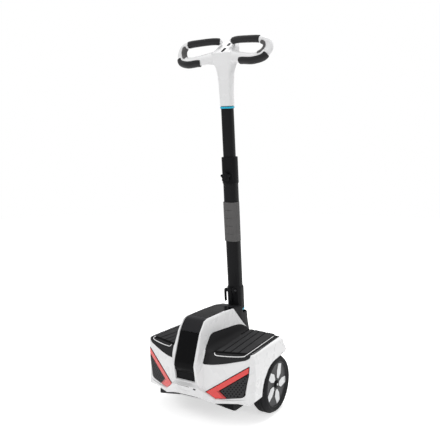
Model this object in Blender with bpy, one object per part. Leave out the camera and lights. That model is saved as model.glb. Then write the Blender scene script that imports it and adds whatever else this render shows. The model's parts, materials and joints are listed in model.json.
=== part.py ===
"""Self-balancing personal transporter, modelled piece by piece.

Metres, +Z up, +Y forwards. The origin lies on the floor, under the middle of the footprint.
Unless a comment says otherwise, places are measured from the wheels' axle: x to the right,
y forwards and z up from the floor. Places on the post are measured from its pivot, along
the leaning post.
"""

import bpy
import bmesh
from math import acos, atan2, cos, pi, radians, sin, tan
from mathutils import Matrix, Vector

# Clearances
GAP = 0.0003            # between pieces that touch
RUNNING_GAP = 0.0020    # between pieces that move past each other

# Wheels
WHEEL_RADIUS = 0.1000
TYRE_WIDTH = 0.0580
TYRE_HEIGHT = 0.0215
RIM_WALL = 0.0040
DISC_FACE = 0.0216      # the disc's outer face, from the middle of the tyre
DISC_THICKNESS = 0.0060
INSERT_ARMS = 5
INSERT_FIRST = radians(62)
INSERT_TIP = 0.0755
INSERT_HALF = 0.0140
INSERT_DEPTH = 0.0022
INSERT_PROUD = 0.0006
HUB_CAP_RADIUS = 0.0115
HUB_CAP_HEIGHT = 0.0045
AXLE_RADIUS = 0.0120
AXLE_INNER = 0.1060      # where an axle ends inside the body
MOTOR_WALL = 0.0045
MOTOR_HALF = 0.0200
STATOR_HALF = 0.0105

# Body
BUMPER_REACH = 0.2680
NOSE_REACH = 0.1905
HALF_WIDTH = 0.2115
TYRE_PROUD = 0.0015     # how far a tyre stands out beyond the fender
WHEEL_MIDDLE = HALF_WIDTH + TYRE_PROUD - TYRE_WIDTH / 2
DECK_HEIGHT = 0.2490
HUMP_HEIGHT = 0.3525
HUMP_HALF = 0.0430
HUMP_FOOT_HALF = 0.0495
WALL = 0.0070
WELL_WALL = 0.0035
WELL_INNER = WHEEL_MIDDLE - TYRE_WIDTH / 2 - 0.0050
ARCH_RADIUS = 0.1120
FASCIA_INNER = (0.0580, -0.2365)
FASCIA_OUTER = (HALF_WIDTH - 0.0125, -0.1790)
BAND_FOOT = (0.0595, -0.2360, DECK_HEIGHT - 0.0345)
BAND_NORMAL = (0.272, -0.828, 0.420)
SPINE_HALF = 0.0380
SPINE_THICKNESS = 0.0030
MAT_THICKNESS = 0.0035
GROOVES = 5
GROOVE_WIDTH = 0.0022
GROOVE_DEPTH = 0.0015
GROOVE_FIRST = HALF_WIDTH - 0.1155
GROOVE_PITCH = 0.0150
TRIM_WIDTH = 0.0026
TRIM_DEPTH = 0.0014
TRAY_WALL = 0.0030
TRAY_FLOOR = 0.0460
TRAY_KEEL = 0.0880
TRAY_RIM = 0.1180
TRAY_REAR_RIM = 0.1000   # lower, to pass under the lamps
HIDDEN_STEPS = 2        # facets of a rounded corner inside the shell and on the tray

# Lamps, drawn on the flat of the rear fascia: x along the body, z up
LAMP_DEPTH = 0.0130
LENS_DEPTH = 0.0040
LENS_PROUD = 0.0008
GRILLE_SET = 0.0030
HOLE = 0.0022
HOLE_PITCH = 0.0110

# Bumper fittings
FLAP_HALF = 0.0215
FLAP_HEIGHT = 0.0160
FLAP_THICKNESS = 0.0025
FLAP_BELOW = 0.0045      # from the bumper's ridge down to the flap
PORT_RADIUS = 0.0060
PORT_BORE = 0.0042
PORT_DEPTH = 0.0160
BUTTON_X = 0.0410
BUTTON_HALF = 0.0042
BUTTON_TOP = 0.0030      # from the ridge down to the power button
BUTTON_FOOT = 0.0075
BUTTON_DEPTH = 0.0060
BUTTON_PROUD = 0.0014
BUTTON_TRAVEL = 0.0012

# Steering
PIVOT_Y = 0.0862
PIVOT_Z = HUMP_HEIGHT - 0.0525
POST_LEAN = radians(5.4)
STEER_RANGE = radians(12)
SHAFT_RADIUS = 0.0078
SPRING_WIRE = 0.0010     # radius of the centring spring's wire
BEARING_RADIUS = 0.0150
BEARING_WIDTH = 0.0090
KNUCKLE_DROP = 0.0380    # from the pivot down to the foot of the knuckle
KNUCKLE_FRONT = 0.0160
TOWER_HALF = 0.0190
TOWER_REAR = -0.0100
TOWER_FRONT = 0.0300

# Post: widths across x, depths fore and aft, and heights along the post above the pivot
LOWER_TUBE = (0.0500, 0.0400, 0.0140)
UPPER_TUBE = (0.0420, 0.0330, 0.0120)
UPPER_TUBE_WALL = 0.0025
SOCKET = (0.0560, 0.0460, 0.0160)
NECK = (0.0460, 0.0380, 0.0140)
RING_RIM = 0.0005
RING_HEIGHT = 0.0060
NECK_FOOT = -0.0120
SOCKET_FOOT = 0.0250
SOCKET_TOP = 0.1090
SOCKET_FLOOR = 0.0360
SOCKET_CHAMFER = 0.0022
SOCKET_GROOVE = (0.0045, 0.0025)   # half its width, and its depth
SLOT_HALF = 0.0015
CLAMP_HEIGHT = 0.0980
BOLT_RADIUS = 0.0022
LEVER_FOOT = 0.0555
PAD_FOOT = 0.2780
PAD_TOP = 0.4190
PAD_THICKNESS = 0.0030
PAD_GROOVES = 4
COLLAR_FOOT = 0.4850
COLLAR_TOP = 0.5780
COLLAR_WALL = 0.0035
LOWER_TUBE_TOP = 0.5700
KNOB_HEIGHT = 0.5120
KNOB_RADIUS = 0.0185
KNOB_LOBES = 5
UPPER_TUBE_FOOT = 0.3700
STEM_FOOT = 0.7520
TUBE_IN_STEM = 0.0480
UPPER_RING = (0.0470, 0.0390, 0.0140)
UPPER_RING_HEIGHT = 0.0065

# Handlebar, measured from the middle of the stem's foot with its axes upright
BAR_RADIUS = 0.0115
GRIP_PROUD = 0.0007      # how far a far grip stands proud of its bar
GRIP_INSET = 0.0035      # how deep it is let into the bar
BUTT_PLANE = 0.0360
GRIP_COVER = 0.0015      # how far a near grip stands proud of its arm
SLOPE = radians(32)

AXLE_AHEAD = (BUMPER_REACH - NOSE_REACH) / 2


for thing in list(bpy.data.objects):
    bpy.data.objects.remove(thing, do_unlink=True)


# Outlines

def fillet(points, steps=3):
    """Round the corners of a closed outline. A corner is (a, b) or (a, b, radius)."""
    rounded = []
    count = len(points)
    for index, corner in enumerate(points):
        if len(corner) == 2:
            rounded.append(tuple(corner))
            continue
        before = Vector(points[index - 1][:2])
        here = Vector(corner[:2])
        after = Vector(points[(index + 1) % count][:2])
        back = (before - here).normalized()
        on = (after - here).normalized()
        half = acos(max(-1.0, min(1.0, back.dot(on)))) / 2
        reach = min(corner[2] / tan(half), (before - here).length * 0.49, (after - here).length * 0.49)
        radius = reach * tan(half)
        centre = here + (back + on).normalized() * (radius / sin(half))
        start = here + back * reach - centre
        finish = here + on * reach - centre
        turn = atan2(start.cross(finish), start.dot(finish))
        for step in range(steps + 1):
            angle = turn * step / steps
            rounded.append((centre.x + start.x * cos(angle) - start.y * sin(angle),
                            centre.y + start.x * sin(angle) + start.y * cos(angle)))
    return rounded


def counterclockwise(outline):
    area = 0.0
    for index, (a, b) in enumerate(outline):
        c, d = outline[index - 1]
        area += c * b - a * d
    return list(outline) if area > 0 else list(reversed(outline))


def grown(outline, distance):
    """Move every side of a closed outline outwards by a distance. Rounded corners keep their centres."""
    outline = [tuple(corner) for corner in outline]
    if counterclockwise([corner[:2] for corner in outline]) != [corner[:2] for corner in outline]:
        outline.reverse()
    moved = []
    count = len(outline)
    for index, corner in enumerate(outline):
        before = Vector(outline[index - 1][:2])
        here = Vector(corner[:2])
        after = Vector(outline[(index + 1) % count][:2])
        first = (here - before).normalized()
        second = (after - here).normalized()
        normal = Vector((first.y, -first.x)) + Vector((second.y, -second.x))
        normal.normalize()
        stretch = max(0.4, normal.dot(Vector((first.y, -first.x))))
        place = here + normal * (distance / stretch)
        bend = distance if first.cross(second) > 0 else -distance
        radius = (max(corner[2] + bend, 0.0004),) if len(corner) == 3 else ()
        moved.append((place.x, place.y) + radius)
    return moved


def both_sides(half):
    """Complete an outline that is drawn from its centre line round its right side and back."""
    left = [(-corner[0],) + tuple(corner[1:]) for corner in reversed(half) if corner[0] > 0]
    return list(half) + left


def rounded_rectangle(size, extra=0.0, steps=3):
    width, depth, radius = size
    a = width / 2 + extra
    b = depth / 2 + extra
    r = radius + extra
    return fillet([(a, -b, r), (a, b, r), (-a, b, r), (-a, -b, r)], steps)


def circle(radius, count, middle=(0.0, 0.0)):
    return [(middle[0] + radius * cos(2 * pi * k / count), middle[1] + radius * sin(2 * pi * k / count))
            for k in range(count)]


def arc(middle, radius, start, finish, steps):
    return [(middle[0] + radius * cos(start + (finish - start) * k / steps),
             middle[1] + radius * sin(start + (finish - start) * k / steps)) for k in range(steps + 1)]


# Meshes

def loft(rings, hollow=False):
    """Skin closed rings that have the same number of points. Both ends are capped, or for a
    hollow tube the last ring joins the first."""
    bm = bmesh.new()
    rows = [[bm.verts.new(point) for point in ring] for ring in rings]
    count = len(rows[0])
    for lower, upper in zip(rows, rows[1:] + rows[:1] if hollow else rows[1:]):
        for k in range(count):
            bm.faces.new((lower[k], lower[(k + 1) % count], upper[(k + 1) % count], upper[k]))
    if not hollow:
        bm.faces.new(rows[0])
        bm.faces.new(rows[-1])
    bmesh.ops.recalc_face_normals(bm, faces=bm.faces)
    return bm


def prism(outline, low, high, across):
    """Extrude an outline. Across x it holds (y, z), across y (x, z) and across z (x, y)."""
    places = {'x': lambda a, b, w: (w, a, b), 'y': lambda a, b, w: (a, w, b), 'z': lambda a, b, w: (a, b, w)}
    place = places[across]
    return loft([[place(a, b, w) for a, b in outline] for w in (low, high)])


def box(low, high):
    (a, b, c), (d, e, f) = low, high
    return prism([(a, b), (d, b), (d, e), (a, e)], c, f, 'z')


def revolve(profile, segments):
    """Turn a closed profile of (x, radius) round the x axis. A radius of 0 lies on the axis."""
    bm = bmesh.new()
    rows = []
    for along, radius in profile:
        if radius == 0:
            rows.append([bm.verts.new((along, 0, 0))])
        else:
            rows.append([bm.verts.new((along, y, z)) for y, z in circle(radius, segments)])
    for one, other in zip(rows, rows[1:] + rows[:1]):
        if len(one) == 1 and len(other) == 1:
            continue
        for k in range(segments):
            corners = [one[k % len(one)], one[(k + 1) % len(one)],
                       other[(k + 1) % len(other)], other[k % len(other)]]
            bm.faces.new(list(dict.fromkeys(corners)))
    bmesh.ops.recalc_face_normals(bm, faces=bm.faces)
    return bm


def moved(bm, matrix):
    bmesh.ops.transform(bm, matrix=matrix, verts=bm.verts)
    bmesh.ops.recalc_face_normals(bm, faces=bm.faces)
    return bm


def handed(bm, side):
    """A right-hand piece as it is, or its mirror image for the left."""
    return bm if side > 0 else moved(bm, Matrix.Scale(-1, 4, (1, 0, 0)))


# Materials

def material(name, colour, roughness, metallic=0.0):
    made = bpy.data.materials.new(name)
    made.use_nodes = True
    shader = made.node_tree.nodes['Principled BSDF']
    shader.inputs['Base Color'].default_value = (*colour, 1.0)
    shader.inputs['Roughness'].default_value = roughness
    shader.inputs['Metallic'].default_value = metallic
    return made


WHITE = material('white_gloss_plastic', (0.86, 0.86, 0.87), 0.25)
GLOSS = material('black_gloss_plastic', (0.008, 0.008, 0.009), 0.08)
BLACK = material('black_moulded_plastic', (0.018, 0.018, 0.020), 0.45)
RUBBER = material('mat_rubber', (0.035, 0.035, 0.037), 0.75)
TYRE = material('tyre_rubber', (0.020, 0.020, 0.021), 0.85)
TUBE = material('black_anodised_aluminium', (0.020, 0.020, 0.022), 0.35, 0.6)
DISC = material('dark_painted_disc', (0.045, 0.045, 0.050), 0.40, 0.3)
LIGHT = material('light_grey_inlay', (0.62, 0.63, 0.65), 0.35, 0.2)
GREY = material('grey_soft_pad', (0.115, 0.115, 0.120), 0.80)
BLUE = material('blue_ring', (0.0, 0.45, 0.72), 0.35)
RED = material('red_lens', (0.72, 0.03, 0.03), 0.15)
STEEL = material('steel', (0.45, 0.45, 0.47), 0.35, 1.0)
CAST = material('cast_aluminium', (0.55, 0.55, 0.57), 0.45, 1.0)
BATTERY = material('battery_wrap', (0.03, 0.06, 0.20), 0.50)
BOARD = material('circuit_board', (0.02, 0.14, 0.06), 0.50)
COPPER = material('copper_winding', (0.55, 0.27, 0.12), 0.40, 1.0)


# Objects

def empty(name, parent=None, location=(0, 0, 0), rotation=(0, 0, 0)):
    made = bpy.data.objects.new(name, None)
    made.parent = parent
    made.location = location
    made.rotation_euler = rotation
    bpy.context.scene.collection.objects.link(made)
    return made


def piece(name, bm, finish, parent, location=(0, 0, 0), sharp=radians(32)):
    mesh = bpy.data.meshes.new(name)
    bm.to_mesh(mesh)
    bm.free()
    mesh.shade_smooth()
    mesh.set_sharp_from_angle(angle=sharp)
    made = bpy.data.objects.new(name, mesh)
    made.parent = parent
    made.location = location
    if finish:
        mesh.materials.append(finish)
    bpy.context.scene.collection.objects.link(made)
    return made


def shown(volume, finish):
    """Make a working volume a piece of the object."""
    volume.hide_render = False
    volume.display_type = 'TEXTURED'
    volume.data.materials.append(finish)
    return volume


def tool(name, bm, parent, location=(0, 0, 0)):
    made = piece(name, bm, None, parent, location)
    made.hide_render = True
    made.display_type = 'WIRE'
    return made


def boolean(target, operation, other):
    modifier = target.modifiers.new(other.name, 'BOOLEAN')
    modifier.operation = operation
    modifier.solver = 'EXACT'
    modifier.object = other
    return target


def cut(target, *others):
    for other in others:
        boolean(target, 'DIFFERENCE', other)
    return target


def join(target, *others):
    for other in others:
        boolean(target, 'UNION', other)
    return target


def keep(target, *others):
    for other in others:
        boolean(target, 'INTERSECT', other)
    return target


def soften(target, width, segments=1, angle=radians(50)):
    modifier = target.modifiers.new('edges', 'BEVEL')
    modifier.width = width
    modifier.segments = segments
    modifier.limit_method = 'ANGLE'
    modifier.angle_limit = angle
    modifier.use_clamp_overlap = True
    modifier.miter_outer = 'MITER_SHARP'
    return target


BASE = empty('base_frame', location=(0, AXLE_AHEAD, 0))
SIDES = (('left', -1), ('right', 1))


# Body volume: three outlines crossed, with the sloping band behind each foot cut away

HUMP_WAIST = DECK_HEIGHT + 0.051


def front_outline(drop=0.0):
    half = [
        (0.0, 0.112 - drop),
        (0.060, 0.100 - drop),
        (0.095, 0.088 - drop),
        (0.150, 0.091 - drop),
        (HALF_WIDTH - 0.0155, 0.085 - drop),
        (HALF_WIDTH - 0.003, 0.093 - drop, 0.008),
        (HALF_WIDTH, 0.160),
        (HALF_WIDTH - 0.002, DECK_HEIGHT - 0.024),
        (HALF_WIDTH - 0.007, DECK_HEIGHT + 0.0015, 0.009),
        (HUMP_FOOT_HALF, DECK_HEIGHT, 0.020),
        (HUMP_HALF + 0.0015, HUMP_WAIST),
        (HUMP_HALF, HUMP_HEIGHT - 0.0075),
        (HUMP_HALF - 0.004, HUMP_HEIGHT - 0.001, 0.004),
        (0.0, HUMP_HEIGHT),
    ]
    return both_sides(half)


HUMP_FRONT_TOP = (-0.0120, HUMP_HEIGHT - 0.0065)
HUMP_FRONT_FOOT = (0.0780, DECK_HEIGHT + 0.0065)
SPINE_LINE = [(-0.012, HUMP_HEIGHT - 0.0025), (-0.100, HUMP_HEIGHT - 0.0015), (-0.172, HUMP_HEIGHT - 0.0020),
              (-0.188, HUMP_HEIGHT - 0.0043), (-0.1975, HUMP_HEIGHT - 0.0088), (-0.2120, HUMP_HEIGHT - 0.0225),
              (-0.2247, HUMP_HEIGHT - 0.0402), (-0.2450, DECK_HEIGHT + 0.0107), (-0.2575, DECK_HEIGHT - 0.0250),
              (-0.2613, 0.2050), (-0.2565, 0.1900), (-0.2340, 0.1600)]
SPINE_SEAM = 6          # the point of that line where its two panels meet


def side_outline():
    corners = [
        (0.150, 0.050),
        (0.184, 0.098),
        (NOSE_REACH, 0.122, 0.012),
        (NOSE_REACH, 0.132, 0.012),
        (0.160, 0.185, 0.030),
        (0.112, DECK_HEIGHT - 0.021, 0.020),
        (0.0850, DECK_HEIGHT - 0.001),
        HUMP_FRONT_FOOT,
        HUMP_FRONT_TOP,
        (-0.100, HUMP_HEIGHT + 0.001),
        (-0.176, HUMP_HEIGHT + 0.001, 0.025),
        (-0.2010, HUMP_HEIGHT - 0.0070, 0.012),
        (-0.2275, HUMP_HEIGHT - 0.0395, 0.020),
        (-0.2480, DECK_HEIGHT + 0.0110),
        (-0.2640, 0.2140, 0.010),
        (-0.2520, 0.1480),
        (-0.2380, 0.1120),
        (-0.2350, 0.0500),
    ]
    return corners


def plan_outline():
    half = [
        (0.0, -0.272),
        (0.0410, -0.272),
        FASCIA_INNER,
        FASCIA_OUTER + (0.014,),
        (HALF_WIDTH + 0.0015, -0.1600, 0.010),
        (HALF_WIDTH + 0.0015, 0.0600),
        (WELL_INNER + 0.002, 0.1100),
        (WELL_INNER - 0.010, 0.155, 0.030),
        (0.080, NOSE_REACH - 0.004, 0.050),
        (0.0, NOSE_REACH + 0.0005),
    ]
    return both_sides(half)


def band_wedge(name, side, grow):
    """Everything above the sloping band behind one foot, outside the hump's wall."""
    normal = Vector(BAND_NORMAL).normalized()
    along = normal.cross(Vector((0, 0, 1))).normalized()
    frame = Matrix((along, normal.cross(along), normal)).transposed().to_4x4()
    frame.translation = Vector(BAND_FOOT) + normal * grow
    bm = moved(box((-0.3, -0.2, 0.0), (0.3, 0.2, 0.2)), frame)
    edge = Vector((HUMP_FOOT_HALF + grow, 0, 0))
    sliced = bmesh.ops.bisect_plane(bm, geom=bm.verts[:] + bm.edges[:] + bm.faces[:], plane_co=edge,
                                    plane_no=(1, 0, 0), clear_inner=True)
    rim = [item for item in sliced['geom_cut'] if isinstance(item, bmesh.types.BMEdge)]
    bmesh.ops.contextual_create(bm, geom=rim)
    bmesh.ops.recalc_face_normals(bm, faces=bm.faces)
    return tool(name, handed(bm, side), BASE)


def body_volume(name, grow, drop=0.0, steps=3):
    """The body's outer form, grown by a distance. A drop lengthens its skirt downwards."""
    front = fillet(grown(front_outline(drop), grow), steps)
    volume = tool(name, prism(front, -0.40, 0.40, 'y'), BASE)
    side = tool(name + '_side', prism(open_side(grow, drop, steps), -0.30, 0.30, 'x'), BASE)
    plan = tool(name + '_plan', prism(fillet(grown(plan_outline(), grow), steps), -0.20, 0.50, 'z'), BASE)
    keep(volume, side, plan)
    for label, hand in SIDES:
        cut(volume, band_wedge(name + '_band_' + label, hand, grow))
    return volume


def open_side(grow, drop, steps):
    """The side outline with its lowest points let down, for the hollow that opens downwards."""
    return [(y, z if z > 0.09 else z - drop) for y, z in fillet(grown(side_outline(), grow), steps)]


def well_outline(grow=0.0):
    """Side view of the space round a wheel: the arch behind and above it, all of it in front."""
    hub = (0.0, WHEEL_RADIUS)
    outline = arc(hub, ARCH_RADIUS, radians(60), radians(201), 14)
    lip = ARCH_RADIUS + 0.0211
    lip_foot = (lip * sin(radians(35.35)), WHEEL_RADIUS + lip * cos(radians(35.35)))
    outline += [(-0.104, 0.055), (-0.104, -0.10), (0.30, -0.10), (0.30, 0.30), (0.050, 0.30),
                (0.050, DECK_HEIGHT), (0.0535, (DECK_HEIGHT + lip_foot[1]) / 2), lip_foot]
    return grown(outline, grow)


# The bumper's ridge line (y, z) and its lower edge (y, z) at stations x from the middle out
BUMPER_LINE = [
    (0.0000, -BUMPER_REACH, 0.1455, -0.2560, 0.110),
    (FLAP_HALF + 0.0045, -BUMPER_REACH, 0.1455, -0.2560, 0.110),
    (0.0520, -0.2570, 0.1370, -0.2470, 0.104),
    (0.0660, -0.2415, 0.1230, -0.2380, 0.098),
    (0.0950, -0.2280, 0.1020, -0.2240, 0.087),
    (0.1300, -0.2130, 0.1000, -0.2090, 0.089),
    (HALF_WIDTH - 0.0365, -0.1930, 0.1020, -0.1890, 0.090),
    (HALF_WIDTH - 0.0155, -0.1800, 0.1050, -0.1740, 0.083),
]


def bumper():
    """Lip under the fascia, lofted along its stations."""
    rings = []
    for side in (-1, 1):
        ordered = reversed(BUMPER_LINE) if side < 0 else BUMPER_LINE[1:]
        for x, ridge_y, ridge_z, edge_y, edge_z in ordered:
            inner = ridge_y + 0.024
            rings.append([(side * x, ridge_y, ridge_z), (side * x, edge_y, edge_z),
                          (side * x, inner, edge_z + 0.002), (side * x, inner, ridge_z + 0.010)])
    return loft(rings)


def spine_ribbon(start, finish):
    """Side outline of the strip over the hump between two places along it."""
    line = SPINE_LINE[start:finish]
    return line + list(reversed(offset_line(line, SPINE_THICKNESS)))


def offset_line(line, distance):
    """Move an open line sideways. A positive distance moves the spine line inwards."""
    shifted = []
    for index, point in enumerate(line):
        before = Vector(line[max(0, index - 1)])
        after = Vector(line[min(len(line) - 1, index + 1)])
        along = (after - before).normalized()
        normal = Vector((-along.y, along.x))
        place = Vector(point) + normal * distance
        shifted.append((place.x, place.y))
    return shifted


# Lamps

def fascia_frame(side):
    """Matrix from the flat of a fascia to the body: x along it, y into the body, z up."""
    run = Vector(FASCIA_OUTER) - Vector(FASCIA_INNER)
    turn = atan2(run.y, run.x)
    placed = Matrix.Translation((FASCIA_INNER[0], FASCIA_INNER[1], 0)) @ Matrix.Rotation(turn, 4, 'Z')
    return placed if side > 0 else Matrix.Scale(-1, 4, (1, 0, 0)) @ placed


def fascia_run(x):
    run = Vector(FASCIA_OUTER) - Vector(FASCIA_INNER)
    return (x - FASCIA_INNER[0]) * run.length / run.x


LAMP_APEX = (FASCIA_INNER[0] + 0.0060, 0.1250)
LAMP_TOP = (FASCIA_OUTER[0] - 0.0040, DECK_HEIGHT - 0.0330)
LAMP_SIDE = (FASCIA_OUTER[0] - 0.0075, DECK_HEIGHT - 0.0840)
LAMP_LOWER = (FASCIA_OUTER[0] - 0.0140, 0.1130)
LAMP_FOOT = (0.0950, 0.1030)
LENS_FOOT_SHARE = 0.38      # how far along the lamp's lower edge the red foot reaches
LENS_INNER = (0.1110, 0.1340)
LENS_TOP_INNER = (LAMP_TOP[0] - 0.0025, LAMP_TOP[1] - 0.0200)


def on_fascia(corners):
    return [(fascia_run(corner[0]),) + tuple(corner[1:]) for corner in corners]


def lamp_outline():
    return on_fascia([LAMP_APEX, LAMP_FOOT, LAMP_LOWER + (0.012,), LAMP_SIDE, LAMP_TOP])


def lens_outline():
    outer = Vector(LAMP_FOOT).lerp(Vector(LAMP_LOWER), LENS_FOOT_SHARE)
    return on_fascia([LAMP_APEX, LAMP_FOOT, tuple(outer), LENS_INNER, LENS_TOP_INNER, LAMP_TOP])


def lamp_block(outline, near, far, side):
    return moved(prism(fillet(outline), near, far, 'y'), fascia_frame(side))


def lamp_holes(side):
    """Diagonal rows of small square holes in the dark part of the lamp."""
    bm = bmesh.new()
    field = fillet(grown(lamp_outline(), -0.0055))
    covered = fillet(grown(lens_outline(), 0.0045))
    for row in range(9):
        for column in range(14):
            a = fascia_run(0.100) + HOLE_PITCH * (column + 0.5 * (row % 2))
            b = 0.112 + HOLE_PITCH * 0.8 * row
            if not inside(field, (a, b)) or inside(covered, (a, b)):
                continue
            hole = prism([(a - HOLE, b), (a, b - HOLE), (a + HOLE, b), (a, b + HOLE)],
                         GRILLE_SET - 0.001, GRILLE_SET + 0.0025, 'y')
            absorb(bm, hole)
    return moved(bm, fascia_frame(side))


def absorb(bm, other):
    mesh = bpy.data.meshes.new('absorbed')
    other.to_mesh(mesh)
    other.free()
    bm.from_mesh(mesh)
    bpy.data.meshes.remove(mesh)


def inside(outline, point):
    within = False
    for index, (a, b) in enumerate(outline):
        c, d = outline[index - 1]
        if (b > point[1]) != (d > point[1]) and point[0] < (c - a) * (point[1] - b) / (d - b) + a:
            within = not within
    return within


def make_lamps():
    for label, side in SIDES:
        housing = piece('lamp_housing_' + label,
                        lamp_block(grown(lamp_outline(), -GAP), -0.0003, LAMP_DEPTH, side), BLACK, BASE)
        lens_pocket = tool('lens_pocket_' + label,
                           lamp_block(grown(lens_outline(), -0.0012), -0.01, LENS_DEPTH + GAP, side), BASE)
        field = tool('grille_pocket_' + label,
                     lamp_block(grown(lamp_outline(), -0.0018), -0.01, GRILLE_SET, side), BASE)
        cut(housing, lens_pocket, field, tool('grille_holes_' + label, lamp_holes(side), BASE))
        lens = lamp_block(grown(lens_outline(), -0.0012 - GAP), -LENS_PROUD, LENS_DEPTH, side)
        soften(piece('tail_lamp_' + label, lens, RED, BASE), 0.0006)


# Bumper fittings. The face under the ridge leans, and the flap and button lie on it.

def bumper_frame(x):
    """Matrix from the bumper's face at a place across it to the body: y inwards, z up to the ridge."""
    for start, finish in zip(BUMPER_LINE, BUMPER_LINE[1:]):
        if start[0] <= x < finish[0]:
            share = (x - start[0]) / (finish[0] - start[0])
            ridges = [Vector(station[:3]) for station in (start, finish)]
            edges = [Vector((station[0],) + station[3:]) for station in (start, finish)]
    ridge = ridges[0].lerp(ridges[1], share)
    across = (ridges[1] - ridges[0]).normalized()
    inwards = (ridge - edges[0].lerp(edges[1], share)).cross(across).normalized()
    frame = Matrix((across, inwards, across.cross(inwards))).transposed().to_4x4()
    frame.translation = ridge
    return frame


def flap_section(extra=0.0):
    """Side view of the flap on the face: y inwards, z up. Its foot is round and turns on its hinge."""
    top = -FLAP_BELOW + extra
    foot = FLAP_HEIGHT + FLAP_BELOW
    return [(0.0, top), (FLAP_THICKNESS + extra, top), (FLAP_THICKNESS + extra, FLAP_THICKNESS / 2 - foot)] \
        + arc((FLAP_THICKNESS / 2, FLAP_THICKNESS / 2 - foot), FLAP_THICKNESS / 2 + extra, 0.0, -pi, 6)[1:]


def button_outline(extra=0.0):
    half = BUTTON_HALF + extra
    low = -BUTTON_FOOT - extra
    high = -BUTTON_TOP + extra
    return fillet([(-half, low, 0.002), (half, low, 0.002), (half, high, 0.002), (-half, high, 0.002)])


def make_bumper_fittings():
    face = bumper_frame(0.0)
    hinge = face @ Vector((0, FLAP_THICKNESS / 2, FLAP_THICKNESS / 2 - FLAP_BELOW - FLAP_HEIGHT))
    door = moved(prism(flap_section(), -FLAP_HALF, FLAP_HALF, 'x'), Matrix.Translation(-hinge) @ face)
    piece('charge_flap', door, WHITE, BASE, hinge)
    middle = (0.0, -FLAP_BELOW - FLAP_HEIGHT / 2)
    barrel = moved(prism(circle(PORT_RADIUS, 16, middle), FLAP_THICKNESS + 0.0010, PORT_DEPTH, 'y'), face)
    bore = moved(prism(circle(PORT_BORE, 12, middle), -0.01, PORT_DEPTH - 0.0030, 'y'), face)
    pin = moved(prism(circle(0.0010, 6, middle), FLAP_THICKNESS + 0.0035, PORT_DEPTH - 0.0020, 'y'), face)
    join(cut(piece('charge_socket', barrel, BLACK, BASE), tool('charge_bore', bore, BASE)),
         tool('charge_pin', pin, BASE))
    place = bumper_frame(BUTTON_X)
    centre = place @ Vector((0, 0, -(BUTTON_TOP + BUTTON_FOOT) / 2))
    cap = prism(button_outline(), -BUTTON_PROUD, BUTTON_DEPTH, 'y')
    cap = moved(cap, Matrix.Translation(-centre) @ place)
    soften(piece('power_button', cap, BLACK, BASE, centre), 0.0005)


# Shell

def axle_passage():
    """Room for both axles to pass through the walls of the wheel wells."""
    reach = WELL_INNER + 0.010
    return prism(circle(AXLE_RADIUS + 0.0015, 20, (0.0, WHEEL_RADIUS)), -reach, reach, 'x')


def make_shell():
    shell = shown(body_volume('upper_shell', 0.0), WHITE)
    groove = offset_line(SPINE_LINE, SPINE_THICKNESS + GAP)
    groove[0] = (0.02, groove[0][1])
    recess = groove + [(-0.275, 0.1475), (-0.33, 0.1475), (-0.33, 0.42), (0.02, 0.42)]
    cut(shell, tool('spine_recess', prism(recess, -SPINE_HALF - GAP, SPINE_HALF + GAP, 'x'), BASE))
    join(shell, tool('bumper', bumper(), BASE))
    for label, side in SIDES:
        mat_space = tool('mat_space_' + label, handed(mat_plan(GAP), side), BASE)
        keep(mat_space, tool('mat_space_side_' + label, mat_side(GAP), BASE))
        cut(mat_space, body_volume('mat_floor_' + label, -MAT_THICKNESS - GAP))
        well = handed(prism(well_outline(), WELL_INNER, 0.30, 'x'), side)
        lamp = lamp_block(lamp_outline(), -0.02, LAMP_DEPTH + GAP, side)
        cut(shell, mat_space, tool('wheel_well_' + label, well, BASE),
            tool('lamp_pocket_' + label, lamp, BASE))
    hollow = body_volume('shell_hollow', -WALL, 0.15, HIDDEN_STEPS)
    for label, side in SIDES:
        wall = prism(well_outline(WELL_WALL), WELL_INNER - WELL_WALL, 0.30, 'x')
        cut(hollow, tool('well_wall_' + label, handed(wall, side), BASE))
    cut(shell, hollow)
    swing = TOWER_HALF * cos(STEER_RANGE) + KNUCKLE_DROP * sin(STEER_RANGE) + RUNNING_GAP
    sweep = KNUCKLE_DROP * cos(STEER_RANGE) + TOWER_HALF * sin(STEER_RANGE) + RUNNING_GAP
    opening = box((-swing, TOWER_REAR, PIVOT_Z - sweep),
                  (swing, PIVOT_Y + KNUCKLE_FRONT + RUNNING_GAP, PIVOT_Z + 0.0360))
    cut(shell, tool('steering_opening', opening, BASE), tool('axle_opening', axle_passage(), BASE))
    face = bumper_frame(0.0)
    half = FLAP_HALF + GAP
    section = flap_section(GAP)
    lowest = min(z for y, z in section)
    kept = [corner for corner in section[1:] if corner[0] >= FLAP_THICKNESS / 2 - GAP]
    open_section = [(-0.004, section[0][1])] + kept + [(-0.004, lowest)]
    flap = moved(prism(open_section, -half, half, 'x'), face)
    middle = (0.0, -FLAP_BELOW - FLAP_HEIGHT / 2)
    port = moved(prism(circle(PORT_RADIUS + GAP, 16, middle), -0.004, PORT_DEPTH + GAP, 'y'), face)
    button = prism(button_outline(GAP), -0.004, BUTTON_DEPTH + BUTTON_TRAVEL + GAP, 'y')
    cut(shell, tool('flap_recess', flap, BASE), tool('port_bore', port, BASE),
        tool('button_bore', moved(button, bumper_frame(BUTTON_X)), BASE))


# Foot mats

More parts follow.
